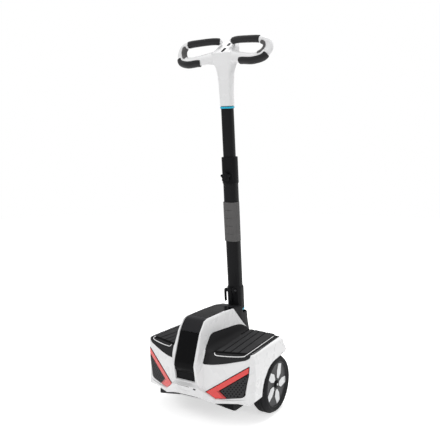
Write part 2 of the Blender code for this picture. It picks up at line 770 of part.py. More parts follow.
def mat_plan(grow=0.0):
    """Plan of the right mat, from the hump's wall to the fender."""
    run = (Vector(FASCIA_OUTER) - Vector(FASCIA_INNER)).normalized()
    inset = Vector((-run.y, run.x)) * 0.0040
    rear_inner = Vector(FASCIA_INNER) + inset
    rear_outer = Vector(FASCIA_OUTER) + inset - run * 0.0123
    outline = [
        (HUMP_HALF - 0.0040, rear_inner.y - 0.006),
        (rear_outer.x, rear_outer.y, 0.014),
        (HALF_WIDTH - 0.0180, -0.1500, 0.020),
        (HALF_WIDTH - 0.0235, 0.0450, 0.008),
        (WELL_INNER - 0.0030, 0.0470, 0.010),
        (WELL_INNER - 0.0150, 0.0860, 0.012),
        (HUMP_HALF, 0.1030),
        (HUMP_HALF - 0.0040, 0.1030),
    ]
    return prism(fillet(grown(outline, grow)), 0.15, 0.40, 'z')


def mat_side(grow=0.0):
    """Side view of the mats: how high they climb the hump's wall."""
    outline = [
        (-0.2500, DECK_HEIGHT - 0.0690),
        (0.1300, DECK_HEIGHT - 0.0690),
        (0.1060, DECK_HEIGHT - 0.0090),
        (0.0780, DECK_HEIGHT + 0.0100, 0.020),
        (0.0276, DECK_HEIGHT + 0.0330, 0.030),
        (-0.0663, DECK_HEIGHT + 0.0425, 0.050),
        (-0.1570, DECK_HEIGHT + 0.0500, 0.014),
        (-0.2015, DECK_HEIGHT + 0.0109, 0.020),
        (-0.2255, DECK_HEIGHT - 0.0270),
        (-0.2345, DECK_HEIGHT - 0.0375),
        (-0.2500, DECK_HEIGHT - 0.0440),
    ]
    return prism(fillet(grown(outline, grow)), -0.30, 0.30, 'x')


def trim_line():
    outer = HALF_WIDTH - 0.0370
    return [(0.0860, -0.1990), (0.0900, -0.2010), (outer - 0.0095, -0.1690), (outer - 0.0010, -0.1600),
            (outer, -0.1500), (outer - 0.0025, 0.0380)]


def trim_ribbon(extra):
    """A closed outline of even width round the trim's line."""
    line = trim_line()
    half = TRIM_WIDTH / 2 + extra
    ends = [Vector(line[0]) - (Vector(line[1]) - Vector(line[0])).normalized() * extra,
            Vector(line[-1]) + (Vector(line[-1]) - Vector(line[-2])).normalized() * extra]
    line = [tuple(ends[0])] + line[1:-1] + [tuple(ends[1])]
    return offset_line(line, half) + list(reversed(offset_line(line, -half)))


def make_mats():
    for label, side in SIDES:
        mat = piece('foot_mat_' + label, handed(mat_plan(), side), RUBBER, BASE)
        keep(mat, tool('mat_side_' + label, mat_side(), BASE), body_volume('mat_top_' + label, 0.0))
        cut(mat, body_volume('mat_under_' + label, -MAT_THICKNESS))
        for index in range(GROOVES):
            x = GROOVE_FIRST + GROOVE_PITCH * index
            rear = -0.1890 + 0.42 * (x - GROOVE_FIRST)
            groove = box((x - GROOVE_WIDTH / 2, rear, DECK_HEIGHT - GROOVE_DEPTH),
                         (x + GROOVE_WIDTH / 2, 0.0370, DECK_HEIGHT + 0.01))
            cut(mat, tool('mat_groove_%s_%d' % (label, index + 1), handed(groove, side), BASE))
        seat = prism(trim_ribbon(GAP), DECK_HEIGHT - TRIM_DEPTH - GAP, DECK_HEIGHT + 0.01, 'z')
        cut(mat, tool('trim_seat_' + label, handed(seat, side), BASE))
        trim = prism(trim_ribbon(0.0), DECK_HEIGHT - TRIM_DEPTH, DECK_HEIGHT + 0.0008, 'z')
        piece('mat_trim_' + label, handed(trim, side), WHITE, BASE)


def make_spine():
    upper = spine_ribbon(0, SPINE_SEAM + 1)
    lower = spine_ribbon(SPINE_SEAM, len(SPINE_LINE))
    for name, outline in (('spine_cover_upper', upper), ('spine_cover_lower', lower)):
        trimmed = shortened(outline, GAP)
        soften(piece(name, prism(trimmed, -SPINE_HALF, SPINE_HALF, 'x'), GLOSS, BASE), 0.0008)


def shortened(outline, distance):
    """Draw the two ends of a ribbon's outline in along its length."""
    half = len(outline) // 2
    drawn = [Vector(point) for point in outline]
    first = (drawn[1] - drawn[0]).normalized() * distance
    last = (drawn[half - 2] - drawn[half - 1]).normalized() * distance
    drawn[0] += first
    drawn[-1] += first
    drawn[half - 1] += last
    drawn[half] += last
    return [tuple(point) for point in drawn]


# Column cover

COVER_RIM = PIVOT_Z + 0.0150
COVER_COLLAR = 0.0575
# How much wider than its plan the cover is, at heights from its foot up
COVER_FLARE = ((DECK_HEIGHT - 0.0700, 0.0095), (DECK_HEIGHT, 0.0037), (DECK_HEIGHT + 0.0265, -0.0006),
               (DECK_HEIGHT + 0.0480, -0.0030), (COVER_RIM, -0.0041), (HUMP_HEIGHT + 0.0500, -0.0041))


def cover_volume(name, grow, deep=0.0):
    """The black cover round the post's foot. A depth opens its hollow towards the hump."""
    side = [
        (-0.0085, HUMP_HEIGHT - 0.0027),
        (COVER_COLLAR, HUMP_HEIGHT - 0.0125),
        (COVER_COLLAR, COVER_RIM),
        (0.1150, COVER_RIM - 0.002, 0.004),
        (0.1200, PIVOT_Z - 0.0180),
        (0.1245, DECK_HEIGHT - 0.0190),
        (0.1270, DECK_HEIGHT - 0.0690),
        (-0.0085 - deep, DECK_HEIGHT - 0.0690),
        (-0.0085 - deep, HUMP_WAIST),
    ]
    front = both_sides([(0.0, 0.15), (HUMP_FOOT_HALF + 0.0070, 0.15), (HUMP_FOOT_HALF + 0.0040, DECK_HEIGHT - 0.012),
                        (HUMP_FOOT_HALF - 0.0005, DECK_HEIGHT + 0.0040), (HUMP_HALF + 0.0010, HUMP_WAIST),
                        (HUMP_HALF - 0.001, HUMP_HEIGHT - 0.0075),
                        (HUMP_HALF - 0.005, HUMP_HEIGHT - 0.002, 0.004), (0.0, HUMP_HEIGHT - 0.001)])
    plan = both_sides([(0.0, -0.05 - deep), (0.0490, -0.05 - deep), (0.0485, 0.0300), (0.0445, 0.0750),
                       (0.0395, 0.1030, 0.015), (0.0230, 0.1215, 0.020), (0.0, 0.1240)])
    volume = tool(name, prism(fillet(grown(side, grow)), -0.10, 0.10, 'x'), BASE)
    levels = [[(x, y, z) for x, y in fillet(grown(plan, grow + flare))] for z, flare in COVER_FLARE]
    return keep(volume, tool(name + '_front', prism(fillet(grown(front, grow)), -0.20, 0.30, 'y'), BASE),
                tool(name + '_plan', loft(levels), BASE))


def make_column_cover():
    cover = shown(cover_volume('column_cover', 0.0), BLACK)
    cut(cover, body_volume('cover_seat', GAP), cover_volume('cover_hollow', -0.0030, 0.010))
    sideways = sin(STEER_RANGE) * (COVER_RIM - PIVOT_Z) + RUNNING_GAP
    swing = (SOCKET[0] + 2 * (RING_RIM + sideways), SOCKET[1] + 2 * (RING_RIM + RUNNING_GAP), 0.0180)
    opening = prism([(x, y + PIVOT_Y - 0.0019) for x, y in rounded_rectangle(swing)],
                    PIVOT_Z - 0.040, HUMP_HEIGHT + 0.010, 'z')
    cut(cover, tool('cover_opening', opening, BASE))


# Tray

def tray_volume(name, grow, rise=0.0):
    """The pan under the body, grown by a distance. A rise opens it upwards."""
    outer = WELL_INNER - WELL_WALL - GAP
    front = both_sides([(0.0, TRAY_KEEL), (0.045, TRAY_KEEL), (0.085, TRAY_FLOOR), (outer, TRAY_FLOOR, 0.010),
                        (outer, TRAY_RIM), (0.0, TRAY_RIM)])
    side = [(0.1740, TRAY_RIM), (0.1660, 0.0930), (0.1380, TRAY_FLOOR, 0.020), (-0.1650, TRAY_FLOOR, 0.020),
            (-0.2000, 0.0600), (-0.2230, TRAY_REAR_RIM), (-0.1560, TRAY_REAR_RIM), (-0.1500, TRAY_RIM)]
    plan = fillet(grown(plan_outline(), grow - WALL - GAP), HIDDEN_STEPS)
    brim = TRAY_REAR_RIM - 0.006
    raised = [(x, z + rise if z > brim else z) for x, z in fillet(grown(front, grow), HIDDEN_STEPS)]
    tall = [(y, z + rise if z > brim else z) for y, z in fillet(grown(side, grow), HIDDEN_STEPS)]
    volume = tool(name, prism(raised, -0.30, 0.30, 'y'), BASE)
    return keep(volume, tool(name + '_side', prism(tall, -0.30, 0.30, 'x'), BASE),
                tool(name + '_plan', prism(plan, 0.0, 0.30, 'z'), BASE))


def make_tray():
    tray = shown(tray_volume('bottom_tray', 0.0), BLACK)
    cut(tray, tray_volume('tray_hollow', -TRAY_WALL, 0.05))
    cut(tray, tool('tray_axle_opening', axle_passage(), BASE))


# Inside the body

def make_inside():
    floor = TRAY_KEEL + TRAY_WALL + GAP
    plate_top = floor + 0.0080
    frame = piece('chassis_frame', box((-0.1180, -0.1550, floor), (0.1180, 0.1050, plate_top)), CAST, BASE)
    for label, side in SIDES:
        block = handed(box((AXLE_INNER - 0.0010, -0.0220, WHEEL_RADIUS - 0.0220),
                           (WELL_INNER - 0.0080, 0.0220, WHEEL_RADIUS + 0.0220)), side)
        join(frame, tool('axle_block_' + label, block, BASE))
    tower_side = [(TOWER_REAR - 0.03, plate_top - 0.004), (TOWER_FRONT + 0.02, plate_top - 0.004),
                  (TOWER_FRONT, 0.200), (TOWER_FRONT, PIVOT_Z + 0.006),
                  (TOWER_FRONT - 0.010, PIVOT_Z + 0.0210), (TOWER_REAR, PIVOT_Z + 0.0210),
                  (TOWER_REAR, 0.200)]
    join(frame, tool('bearing_tower', prism(tower_side, -TOWER_HALF, TOWER_HALF, 'x'), BASE))
    for label, low, high, radius in (
            ('middle', TOWER_REAR - 0.01, TOWER_FRONT + 0.01, SHAFT_RADIUS + RUNNING_GAP),
            ('rear', TOWER_REAR - 0.01, TOWER_REAR + BEARING_WIDTH + GAP, BEARING_RADIUS + GAP),
            ('front', TOWER_FRONT - BEARING_WIDTH - GAP, TOWER_FRONT + 0.01, BEARING_RADIUS + GAP)):
        bore = prism(circle(radius, 16, (0.0, PIVOT_Z)), low, high, 'y')
        cut(frame, tool('bearing_bore_' + label, bore, BASE))
    axle = prism(circle(AXLE_RADIUS + GAP, 20, (0.0, WHEEL_RADIUS)), -WELL_INNER, WELL_INNER, 'x')
    bores = tool('axle_bores', axle, BASE)
    blind = AXLE_INNER - 0.0011
    cut(bores, tool('axle_bores_middle', box((-blind, -0.05, 0.0), (blind, 0.05, 0.2)), BASE))
    cut(frame, bores)

    for label, y in (('rear', TOWER_REAR), ('front', TOWER_FRONT - BEARING_WIDTH)):
        outline = circle(BEARING_RADIUS, 16, (0.0, PIVOT_Z))
        ring = piece('pivot_bearing_' + label, prism(outline, y, y + BEARING_WIDTH, 'y'), STEEL, BASE)
        hole = prism(circle(SHAFT_RADIUS + GAP, 16, (0.0, PIVOT_Z)), y - 0.01, y + BEARING_WIDTH + 0.01, 'y')
        cut(ring, tool('bearing_hole_' + label, hole, BASE))

    battery = box((-0.0750, -0.1500, plate_top + GAP), (0.0750, -0.0450, plate_top + 0.0720))
    soften(piece('battery_pack', battery, BATTERY, BASE), 0.004, 2)

    sheet = box((-0.0600, 0.0550, plate_top + 0.0060), (0.0600, 0.1020, plate_top + 0.0080))
    board = piece('control_board', sheet, BOARD, BASE)
    for index, (x, y) in enumerate(((-0.052, 0.062), (0.052, 0.062), (-0.052, 0.095), (0.052, 0.095))):
        foot = prism(circle(0.0035, 8, (x, y)), plate_top + GAP, plate_top + 0.0070, 'z')
        join(board, tool('board_foot_%d' % (index + 1), foot, BASE))
    for index, x in enumerate((-0.036, -0.012, 0.012, 0.036)):
        chip = box((x - 0.008, 0.070, plate_top + 0.0070), (x + 0.008, 0.088, plate_top + 0.0160))
        join(board, tool('board_switch_%d' % (index + 1), chip, BASE))

    for label, side in SIDES:
        top = DECK_HEIGHT - WALL - GAP
        sensor = handed(box((0.0900, -0.0900, top - 0.0060), (0.1380, 0.0100, top)), side)
        soften(piece('foot_sensor_' + label, sensor, GREY, BASE), 0.0015)

    turns = 5
    around = 10
    spring_radius = (SHAFT_RADIUS + SPRING_WIRE + RUNNING_GAP / 4) / cos(pi / around)
    coil = bpy.data.curves.new('centring_spring', 'CURVE')
    coil.dimensions = '3D'
    coil.bevel_depth = SPRING_WIRE
    coil.bevel_resolution = 0
    coil.use_fill_caps = True
    line = coil.splines.new('POLY')
    steps = turns * around
    line.points.add(steps)
    for k in range(steps + 1):
        turn = 2 * pi * turns * k / steps
        line.points[k].co = (spring_radius * cos(turn), TOWER_REAR - 0.0030 - 0.0200 * k / steps,
                             PIVOT_Z + spring_radius * sin(turn), 1.0)
    spring = bpy.data.objects.new('centring_spring', coil)
    spring.parent = BASE
    coil.materials.append(STEEL)
    bpy.context.scene.collection.objects.link(spring)


# Wheels

def insert_outline(grow=0.0):
    """Five light arms joined round the hub, in the wheel's plane."""
    outline = []
    arm = ((0.0220, 0.0060), (0.0340, INSERT_HALF - 0.0020), (0.0640, INSERT_HALF), (INSERT_TIP, 0.0070))
    for index in range(INSERT_ARMS):
        angle = INSERT_FIRST + 2 * pi * index / INSERT_ARMS
        valley = angle - pi / INSERT_ARMS
        outline.append((0.0165 * cos(valley), 0.0165 * sin(valley)))
        for reach, half in arm:
            outline.append((reach * cos(angle) + half * sin(angle), reach * sin(angle) - half * cos(angle)))
        for reach, half in reversed(arm):
            outline.append((reach * cos(angle) - half * sin(angle), reach * sin(angle) + half * cos(angle)))
    return grown(outline, grow)


def make_wheel(label, side):
    hub = empty('wheel_hub_' + label, BASE, (side * WHEEL_MIDDLE, 0, WHEEL_RADIUS))
    half = TYRE_WIDTH / 2
    bead = WHEEL_RADIUS - TYRE_HEIGHT
    tread = WHEEL_RADIUS
    tyre = [(-half + 0.0035, bead), (-half + 0.0005, bead + 0.0045), (-half, tread - 0.0110),
            (-half + 0.0050, tread - 0.0030), (-half + 0.0130, tread - 0.0004), (-0.0035, tread),
            (-0.0025, tread - 0.0022)]
    tyre += [(-a, b) for a, b in reversed(tyre)]
    piece('tyre_' + label, handed(revolve(tyre, 36), side), TYRE, hub)
    rim_radius = bead - GAP
    rim = [(-half + 0.003, rim_radius), (half - 0.0015, rim_radius), (DISC_FACE, rim_radius - 0.0020),
           (DISC_FACE, 0.0), (DISC_FACE - DISC_THICKNESS, 0.0),
           (DISC_FACE - DISC_THICKNESS, rim_radius - RIM_WALL), (-half + 0.003, rim_radius - RIM_WALL)]
    disc = piece('wheel_rim_' + label, handed(revolve(rim, 36), side), DISC, hub)
    pocket = prism(insert_outline(GAP), DISC_FACE - INSERT_DEPTH + INSERT_PROUD - GAP, DISC_FACE + 0.01, 'x')
    cut(disc, tool('insert_pocket_' + label, handed(pocket, side), hub))
    star = prism(insert_outline(), DISC_FACE - INSERT_DEPTH + INSERT_PROUD, DISC_FACE + INSERT_PROUD, 'x')
    piece('wheel_insert_' + label, handed(star, side), LIGHT, hub)
    face = DISC_FACE + INSERT_PROUD + GAP
    cap = [(face, 0.0), (face, HUB_CAP_RADIUS), (face + HUB_CAP_HEIGHT * 0.65, HUB_CAP_RADIUS),
           (face + HUB_CAP_HEIGHT, HUB_CAP_RADIUS * 0.7), (face + HUB_CAP_HEIGHT, 0.0)]
    piece('hub_cap_' + label, handed(revolve(cap, 16), side), BLACK, hub)
    can = rim_radius - RIM_WALL - GAP
    front = DISC_FACE - DISC_THICKNESS - GAP
    motor = [(front, 0.0), (front, can), (-MOTOR_HALF, can), (-MOTOR_HALF, AXLE_RADIUS + 0.001),
             (-MOTOR_HALF + 0.003, AXLE_RADIUS + 0.001), (-MOTOR_HALF + 0.003, can - MOTOR_WALL),
             (front - 0.0035, can - MOTOR_WALL), (front - 0.0035, 0.0)]
    piece('hub_motor_' + label, handed(revolve(motor, 20), side), CAST, hub)
    reach = WHEEL_MIDDLE - AXLE_INNER
    stator_radius = can - MOTOR_WALL - 0.0010
    stator = [(-reach, 0.0), (-reach, AXLE_RADIUS), (-STATOR_HALF, AXLE_RADIUS),
              (-STATOR_HALF, stator_radius), (STATOR_HALF, stator_radius), (STATOR_HALF, 0.0)]
    core = piece('axle_' + label, handed(revolve(stator, 20), side), STEEL, BASE)
    core.location = (side * WHEEL_MIDDLE, 0, WHEEL_RADIUS)


# Steering and post

STEERING = empty('steering_pivot', BASE, (0, PIVOT_Y, PIVOT_Z))
POST = empty('post_frame', STEERING, (0, 0, 0), (POST_LEAN, 0, 0))


def make_steering():
    upright_rear = -0.0342
    upright_front = -0.0222
    block = box((-TOWER_HALF, upright_rear, -KNUCKLE_DROP), (TOWER_HALF, KNUCKLE_FRONT, -0.0150))
    knuckle = piece('steering_shaft', block, CAST, STEERING)
    upright = box((-0.0120, upright_rear, -0.0300), (0.0120, upright_front, 0.0090))
    seat = box((-0.0170, -0.0180, NECK_FOOT - 0.0160), (0.0170, 0.0120, NECK_FOOT - GAP))
    shaft = prism(circle(SHAFT_RADIUS, 16), TOWER_REAR - 0.0350 - PIVOT_Y, upright_rear + 0.004, 'y')
    join(knuckle, tool('knuckle_upright', upright, STEERING), tool('knuckle_seat', seat, POST),
         tool('steering_axle', shaft, STEERING))

    ring = piece('ring_lower', prism(rounded_rectangle(SOCKET, RING_RIM), SOCKET_FOOT - GAP - RING_HEIGHT,
                                     SOCKET_FOOT - GAP, 'z'), BLUE, POST)
    cut(ring, tool('ring_lower_bore', prism(rounded_rectangle(NECK, GAP), 0.0, 0.05, 'z'), POST))

    body = [(SOCKET_FOOT, 0.0), (SOCKET_TOP - 2 * SOCKET_CHAMFER, 0.0), (SOCKET_TOP, -SOCKET_CHAMFER)]
    body = [[(x, y, z) for x, y in rounded_rectangle(SOCKET, extra)] for z, extra in body]
    socket = piece('post_socket', loft(body), TUBE, POST)
    neck = prism(rounded_rectangle(NECK), NECK_FOOT, SOCKET_FOOT + 0.002, 'z')
    join(socket, tool('socket_neck', neck, POST))
    rear = -SOCKET[1] / 2
    for label, low, high in (('left', -0.0160, -SLOT_HALF), ('right', SLOT_HALF, 0.0120)):
        lug = box((low, rear - 0.0085, CLAMP_HEIGHT - 0.0090), (high, rear + 0.004, CLAMP_HEIGHT + 0.0090))
        join(socket, tool('clamp_lug_' + label, lug, POST))
    bore = prism(rounded_rectangle(LOWER_TUBE, GAP), SOCKET_FLOOR, SOCKET_TOP + 0.01, 'z')
    slot = box((-SLOT_HALF, rear - 0.02, SOCKET_FLOOR + 0.010), (SLOT_HALF, rear + 0.008, SOCKET_TOP + 0.01))
    bolt_y = rear - 0.0045
    hole = prism(circle(BOLT_RADIUS + GAP, 10, (bolt_y, CLAMP_HEIGHT)), -0.03, 0.03, 'x')
    half, deep = SOCKET_GROOVE
    groove = box((-half, rear - 0.01, SOCKET_FOOT - 0.001), (half, rear + deep, CLAMP_HEIGHT - 0.0090))
    cut(socket, tool('socket_bore', bore, POST), tool('socket_slot', slot, POST),
        tool('socket_groove', groove, POST), tool('bolt_hole', hole, POST))

    eye = Vector((-0.0230, bolt_y, CLAMP_HEIGHT))
    shank = prism(circle(BOLT_RADIUS, 10, (bolt_y, CLAMP_HEIGHT)), -0.0262, 0.0180, 'x')
    bolt = piece('latch_bolt', shank, STEEL, POST)
    head = prism(circle(0.0042, 6, (bolt_y, CLAMP_HEIGHT)), 0.0123, 0.0160, 'x')
    pin_hole = prism(circle(0.0012 + GAP, 8, (eye.x, eye.z)), bolt_y - 0.01, bolt_y + 0.01, 'y')
    cut(join(bolt, tool('bolt_head', head, POST)), tool('bolt_eye', pin_hole, POST))
    pin = prism(circle(0.0012, 8), -0.0050, 0.0042, 'y')
    piece('latch_pin', pin, STEEL, POST, eye)

    foot = LEVER_FOOT - CLAMP_HEIGHT
    outline = fillet([(0.0045, -0.0055, 0.003), (0.0045, 0.0060, 0.004), (-0.0052, 0.0060, 0.004),
                      (-0.0064, -0.0040, 0.004), (-0.0064, foot + 0.006), (-0.0052, foot, 0.001),
                      (-0.0012, foot, 0.001), (-0.0012, -0.0100, 0.003)])
    lever = piece('latch_lever', prism(outline, -0.0050, 0.0042, 'y'), BLACK, POST, eye)
    fork = box((-0.0042, -BOLT_RADIUS - GAP, -0.02), (0.02, BOLT_RADIUS + GAP, 0.02))
    lever_hole = prism(circle(0.0012 + GAP, 8), -0.01, 0.01, 'y')
    cut(lever, tool('lever_fork', fork, POST, eye), tool('lever_hole', lever_hole, POST, eye))


def make_post():
    wall = prism(rounded_rectangle(LOWER_TUBE), SOCKET_FLOOR + GAP, LOWER_TUBE_TOP, 'z')
    tube = piece('lower_tube', wall, TUBE, POST)
    cut(tube, tool('lower_tube_bore', prism(rounded_rectangle(UPPER_TUBE, GAP), 0.0, 0.7, 'z'), POST))
    screw = prism(circle(0.0030 + GAP, 10, (0.0, KNOB_HEIGHT)), -0.05, 0.0, 'y')
    cut(tube, tool('tube_screw_hole', screw, POST))

    sleeve = prism(rounded_rectangle(LOWER_TUBE, GAP + PAD_THICKNESS), PAD_FOOT, PAD_TOP, 'z')
    pad = piece('knee_pad', sleeve, GREY, POST)
    bore = prism(rounded_rectangle(LOWER_TUBE, GAP), PAD_FOOT - 0.01, PAD_TOP + 0.01, 'z')
    front = box((-0.05, 0.0060, PAD_FOOT - 0.01), (0.05, 0.05, PAD_TOP + 0.01))
    cut(pad, tool('pad_bore', bore, POST), tool('pad_front', front, POST))
    length = PAD_TOP - PAD_FOOT
    for index in range(PAD_GROOVES):
        z = PAD_FOOT + length * (index + 1) / (PAD_GROOVES + 1)
        floor = -LOWER_TUBE[1] / 2 - GAP - PAD_THICKNESS + 0.0012
        groove = box((-0.0170, -0.05, z - 0.0012), (0.0170, floor, z + 0.0012))
        cut(pad, tool('pad_groove_%d' % (index + 1), groove, POST))

    sleeve = prism(rounded_rectangle(LOWER_TUBE, GAP + COLLAR_WALL), COLLAR_FOOT, COLLAR_TOP, 'z')
    collar = piece('clamp_collar', sleeve, BLACK, POST)
    soften(collar, 0.0010)
    rear = -LOWER_TUBE[1] / 2 - GAP - COLLAR_WALL
    boss = prism(circle(0.0090, 16, (0.0, KNOB_HEIGHT)), rear - 0.0030, rear + 0.002, 'y')
    cut(join(collar, tool('collar_boss', boss, POST)),
        tool('collar_bore', prism(rounded_rectangle(LOWER_TUBE, GAP), 0.40, LOWER_TUBE_TOP + GAP, 'z'), POST),
        tool('collar_mouth', prism(rounded_rectangle(UPPER_TUBE, GAP), 0.40, 0.70, 'z'), POST),
        tool('collar_screw_hole', prism(circle(0.0030 + GAP, 10, (0.0, KNOB_HEIGHT)), -0.05, 0.0, 'y'), POST))

    face = rear - 0.0030 - GAP
    lobes = []
    for k in range(KNOB_LOBES * 6):
        angle = 2 * pi * k / (KNOB_LOBES * 6)
        reach = KNOB_RADIUS - 0.0032 * (1 - cos(angle * KNOB_LOBES))
        lobes.append((reach * sin(angle), reach * cos(angle)))
    place = (0, 0, KNOB_HEIGHT)
    knob = piece('star_knob', prism(lobes, face - 0.0125, face - 0.0020, 'y'), BLACK, POST, place)
    tip = -UPPER_TUBE[1] / 2 - GAP
    join(knob, tool('knob_cap', prism(circle(0.0085, 16), face - 0.0150, face - 0.0100, 'y'), POST, place),
         tool('knob_neck', prism(circle(0.0070, 16), face - 0.0040, face, 'y'), POST, place),
         tool('knob_screw', prism(circle(0.0030, 10), face - 0.0040, tip, 'y'), POST, place))

    top = STEM_FOOT + TUBE_IN_STEM
    tube = piece('upper_tube', prism(rounded_rectangle(UPPER_TUBE), UPPER_TUBE_FOOT, top, 'z'), TUBE, POST)
    inner = rounded_rectangle(UPPER_TUBE, -UPPER_TUBE_WALL)
    cut(tube, tool('upper_tube_bore', prism(inner, UPPER_TUBE_FOOT - 0.01, top + 0.01, 'z'), POST))
    band = prism(rounded_rectangle(UPPER_RING), STEM_FOOT - GAP - UPPER_RING_HEIGHT, STEM_FOOT - GAP, 'z')
    ring = piece('ring_upper', band, BLUE, POST)
    cut(ring, tool('ring_upper_bore', prism(rounded_rectangle(UPPER_TUBE, GAP), 0.70, 0.80, 'z'), POST))


# Handlebar

HEAD = empty('head_frame', POST, (0, 0, STEM_FOOT), (-POST_LEAN, 0, 0))


def make_head():
    lean = tan(POST_LEAN)
    stations = [
        (0.0000, 0.0230, 0.0000, 0.0190),
        (0.0500, 0.0235, -0.0047, 0.0192),
        (0.0960, 0.0262, -0.0088, 0.0200),
        (0.1190, 0.0290, -0.0115, 0.0210),
        (0.1330, 0.0335, -0.0130, 0.0225),
        (0.1440, 0.0390, -0.0145, 0.0245),
        (0.1560, 0.0420, -0.0150, 0.0275),
        (0.1730, 0.0420, -0.0130, 0.0315),
        (0.1920, 0.0390, -0.0080, 0.0345),
        (0.2060, 0.0335, -0.0020, 0.0350),
        (0.2260, 0.0300, 0.0060, 0.0330),
    ]
    rings = []
    for z, half, middle, depth in stations:
        ring = rounded_rectangle((2 * half, 2 * depth, 0.012))
        tilt = lean if z < 0.06 else 0.0
        rings.append([(x, y + middle, z + y * tilt) for x, y in ring])
    head = piece('stem_head', loft(rings), WHITE, HEAD)
    low = Vector((0, -0.0484, 0.1733))
    above = moved(box((-0.20, -0.20, 0.0), (0.20, 0.30, 0.20)),
                  Matrix.Translation(low) @ Matrix.Rotation(SLOPE, 4, 'X'))
    cut(head, tool('head_slope', above, HEAD),
        tool('head_left', box((-0.20, -0.10, -0.1), (-BUTT_PLANE, 0.10, 0.3)), HEAD),
        tool('head_right', box((BUTT_PLANE, -0.10, -0.1), (0.20, 0.10, 0.3)), HEAD))
    sleeve = prism(rounded_rectangle(UPPER_TUBE, GAP), STEM_FOOT - 0.02, STEM_FOOT + TUBE_IN_STEM + GAP, 'z')
    cut(head, tool('stem_bore', sleeve, POST))
    for label, side in SIDES:
        space = bar(loop_points(side), -GRIP_PROUD - RUNNING_GAP / 4, 23, 30)
        cut(head, tool('far_bar_space_' + label, space, HEAD))
    surface = Matrix.Translation(low) @ Matrix.Rotation(SLOPE, 4, 'X')
    for name, start, finish, half, finish_used, deep in (
            ('battery_window', 0.012, 0.040, 0.0040, GLOSS, 0.0050),
            ('mode_button', 0.058, 0.076, 0.0042, BLACK, 0.0050 + BUTTON_TRAVEL)):
        centre = surface @ Vector((0, (start + finish) / 2, 0))
        local = Matrix.Translation(-centre) @ surface
        pill = [(-half, start, half * 0.9), (half, start, half * 0.9), (half, finish, half * 0.9),
                (-half, finish, half * 0.9)]
        seat = moved(prism(fillet(grown(pill, GAP)), -deep - GAP, 0.01, 'z'), surface)
        cut(head, tool(name + '_seat', seat, HEAD))
        piece(name, moved(prism(fillet(pill), -0.0050, 0.0004, 'z'), local), finish_used, HEAD, centre)


def spline(points, steps):
    """A smooth line through the given points."""
    line = []
    extended = [points[0] * 2 - points[1]] + points + [points[-1] * 2 - points[-2]]
    for k in range(1, len(extended) - 2):
        a, b, c, d = extended[k - 1:k + 3]
        for step in range(steps):
            t = step / steps
            line.append(0.5 * ((2 * b) + (c - a) * t + (2 * a - 5 * b + 4 * c - d) * t * t
                               + (3 * b - a - 3 * c + d) * t * t * t))
    line.append(points[-1])
    return line


def loop_points(side):
    """Middle line of one loop: out along the near bar, round its end and back along the far bar."""
    right = [(0.0300, -0.0200, 0.1620), (0.0600, -0.0370, 0.1580), (0.0915, -0.0470, 0.1530),
             (0.1250, -0.0490, 0.1500), (0.1530, -0.0400, 0.1580), (0.1680, -0.0260, 0.1800),
             (0.1630, -0.0220, 0.2020), (0.1380, -0.0270, 0.2120), (0.0900, -0.0240, 0.2160),
             (0.0450, -0.0140, 0.2185), (0.0180, 0.0000, 0.2170)]
    return spline([Vector((side * x, y, z)) for x, y, z in right], LOOP_STEPS)


def loop_normal(side):
    return Vector((side * 0.12, -0.90, 0.36)).normalized()


# Half the bar's width in the loop's plane and half its thickness, at each point of its middle line
BAR_SECTIONS = [(0.0255, 0.0200), (0.0205, 0.0150), (0.0185, 0.0125), (0.0180, 0.0115), (0.0190, 0.0115),
                (0.0185, 0.0115), (0.0155, 0.0115), (0.0122, 0.0115), (BAR_RADIUS, BAR_RADIUS),
                (BAR_RADIUS, BAR_RADIUS), (BAR_RADIUS, BAR_RADIUS)]
LOOP_STEPS = 3


def bar_section(index):
    """Half the width and half the thickness of the bar at one ring."""
    start = min(index // LOOP_STEPS, len(BAR_SECTIONS) - 2)
    share = index / LOOP_STEPS - start
    return Vector(BAR_SECTIONS[start]).lerp(Vector(BAR_SECTIONS[start + 1]), share)


def bar_ring(line, index, inset=0.0, sides=12):
    """One ring round the loop's middle line, drawn in from the bar's surface."""
    width, thickness = bar_section(index)
    normal = loop_normal(1 if line[len(line) // 2].x > 0 else -1)
    before = line[max(0, index - 1)]
    after = line[min(len(line) - 1, index + 1)]
    along = (after - before).normalized()
    across = along.cross(normal).normalized()
    upright = across.cross(along).normalized()
    return [line[index] + across * (a * (width - inset)) + upright * (b * (thickness - inset))
            for a, b in circle(1.0, sides)]


def bar(line, inset, first, last):
    return loft([bar_ring(line, index, inset) for index in range(first, last + 1)])


NEAR_GRIP = (5, 13)
NEAR_GRIP_SPREAD = radians(104)
FAR_GRIP = (21, 29)
LINING = (14, 19)
LINING_THICKNESS = 0.0016
LINING_SPREAD = radians(62)


def saddle_ring(line, index, towards, spread, thickness, steps):
    """Section of a saddle on the bar. It lies round the side that faces along towards."""
    width, thin = bar_section(index)
    normal = loop_normal(1 if line[len(line) // 2].x > 0 else -1)
    along = (line[index + 1] - line[index - 1]).normalized()
    across = along.cross(normal).normalized()
    if across.dot(towards) < 0:
        across = -across
    upright = across.cross(along).normalized()
    half = steps // 2
    angles = [spread * k / half for k in range(-half, half + 1)]
    stretch = 1 / cos(spread / half / 2)
    ring = []
    for reach, turned in ((GAP + thickness, angles), (GAP, reversed(angles))):
        ring += [line[index] + across * ((width + reach) * stretch * cos(a))
                 + upright * ((thin + reach) * stretch * sin(a)) for a in turned]
    return ring


def saddle(line, run, side, spread, thickness, steps):
    """A saddle along part of the loop. Side is 1 for the side that faces the opening, -1 for the outer one."""
    middle = sum(line, Vector()) / len(line)
    return loft([saddle_ring(line, index, (middle - line[index]) * side, spread, thickness, steps)
                 for index in range(run[0], run[1] + 1)])


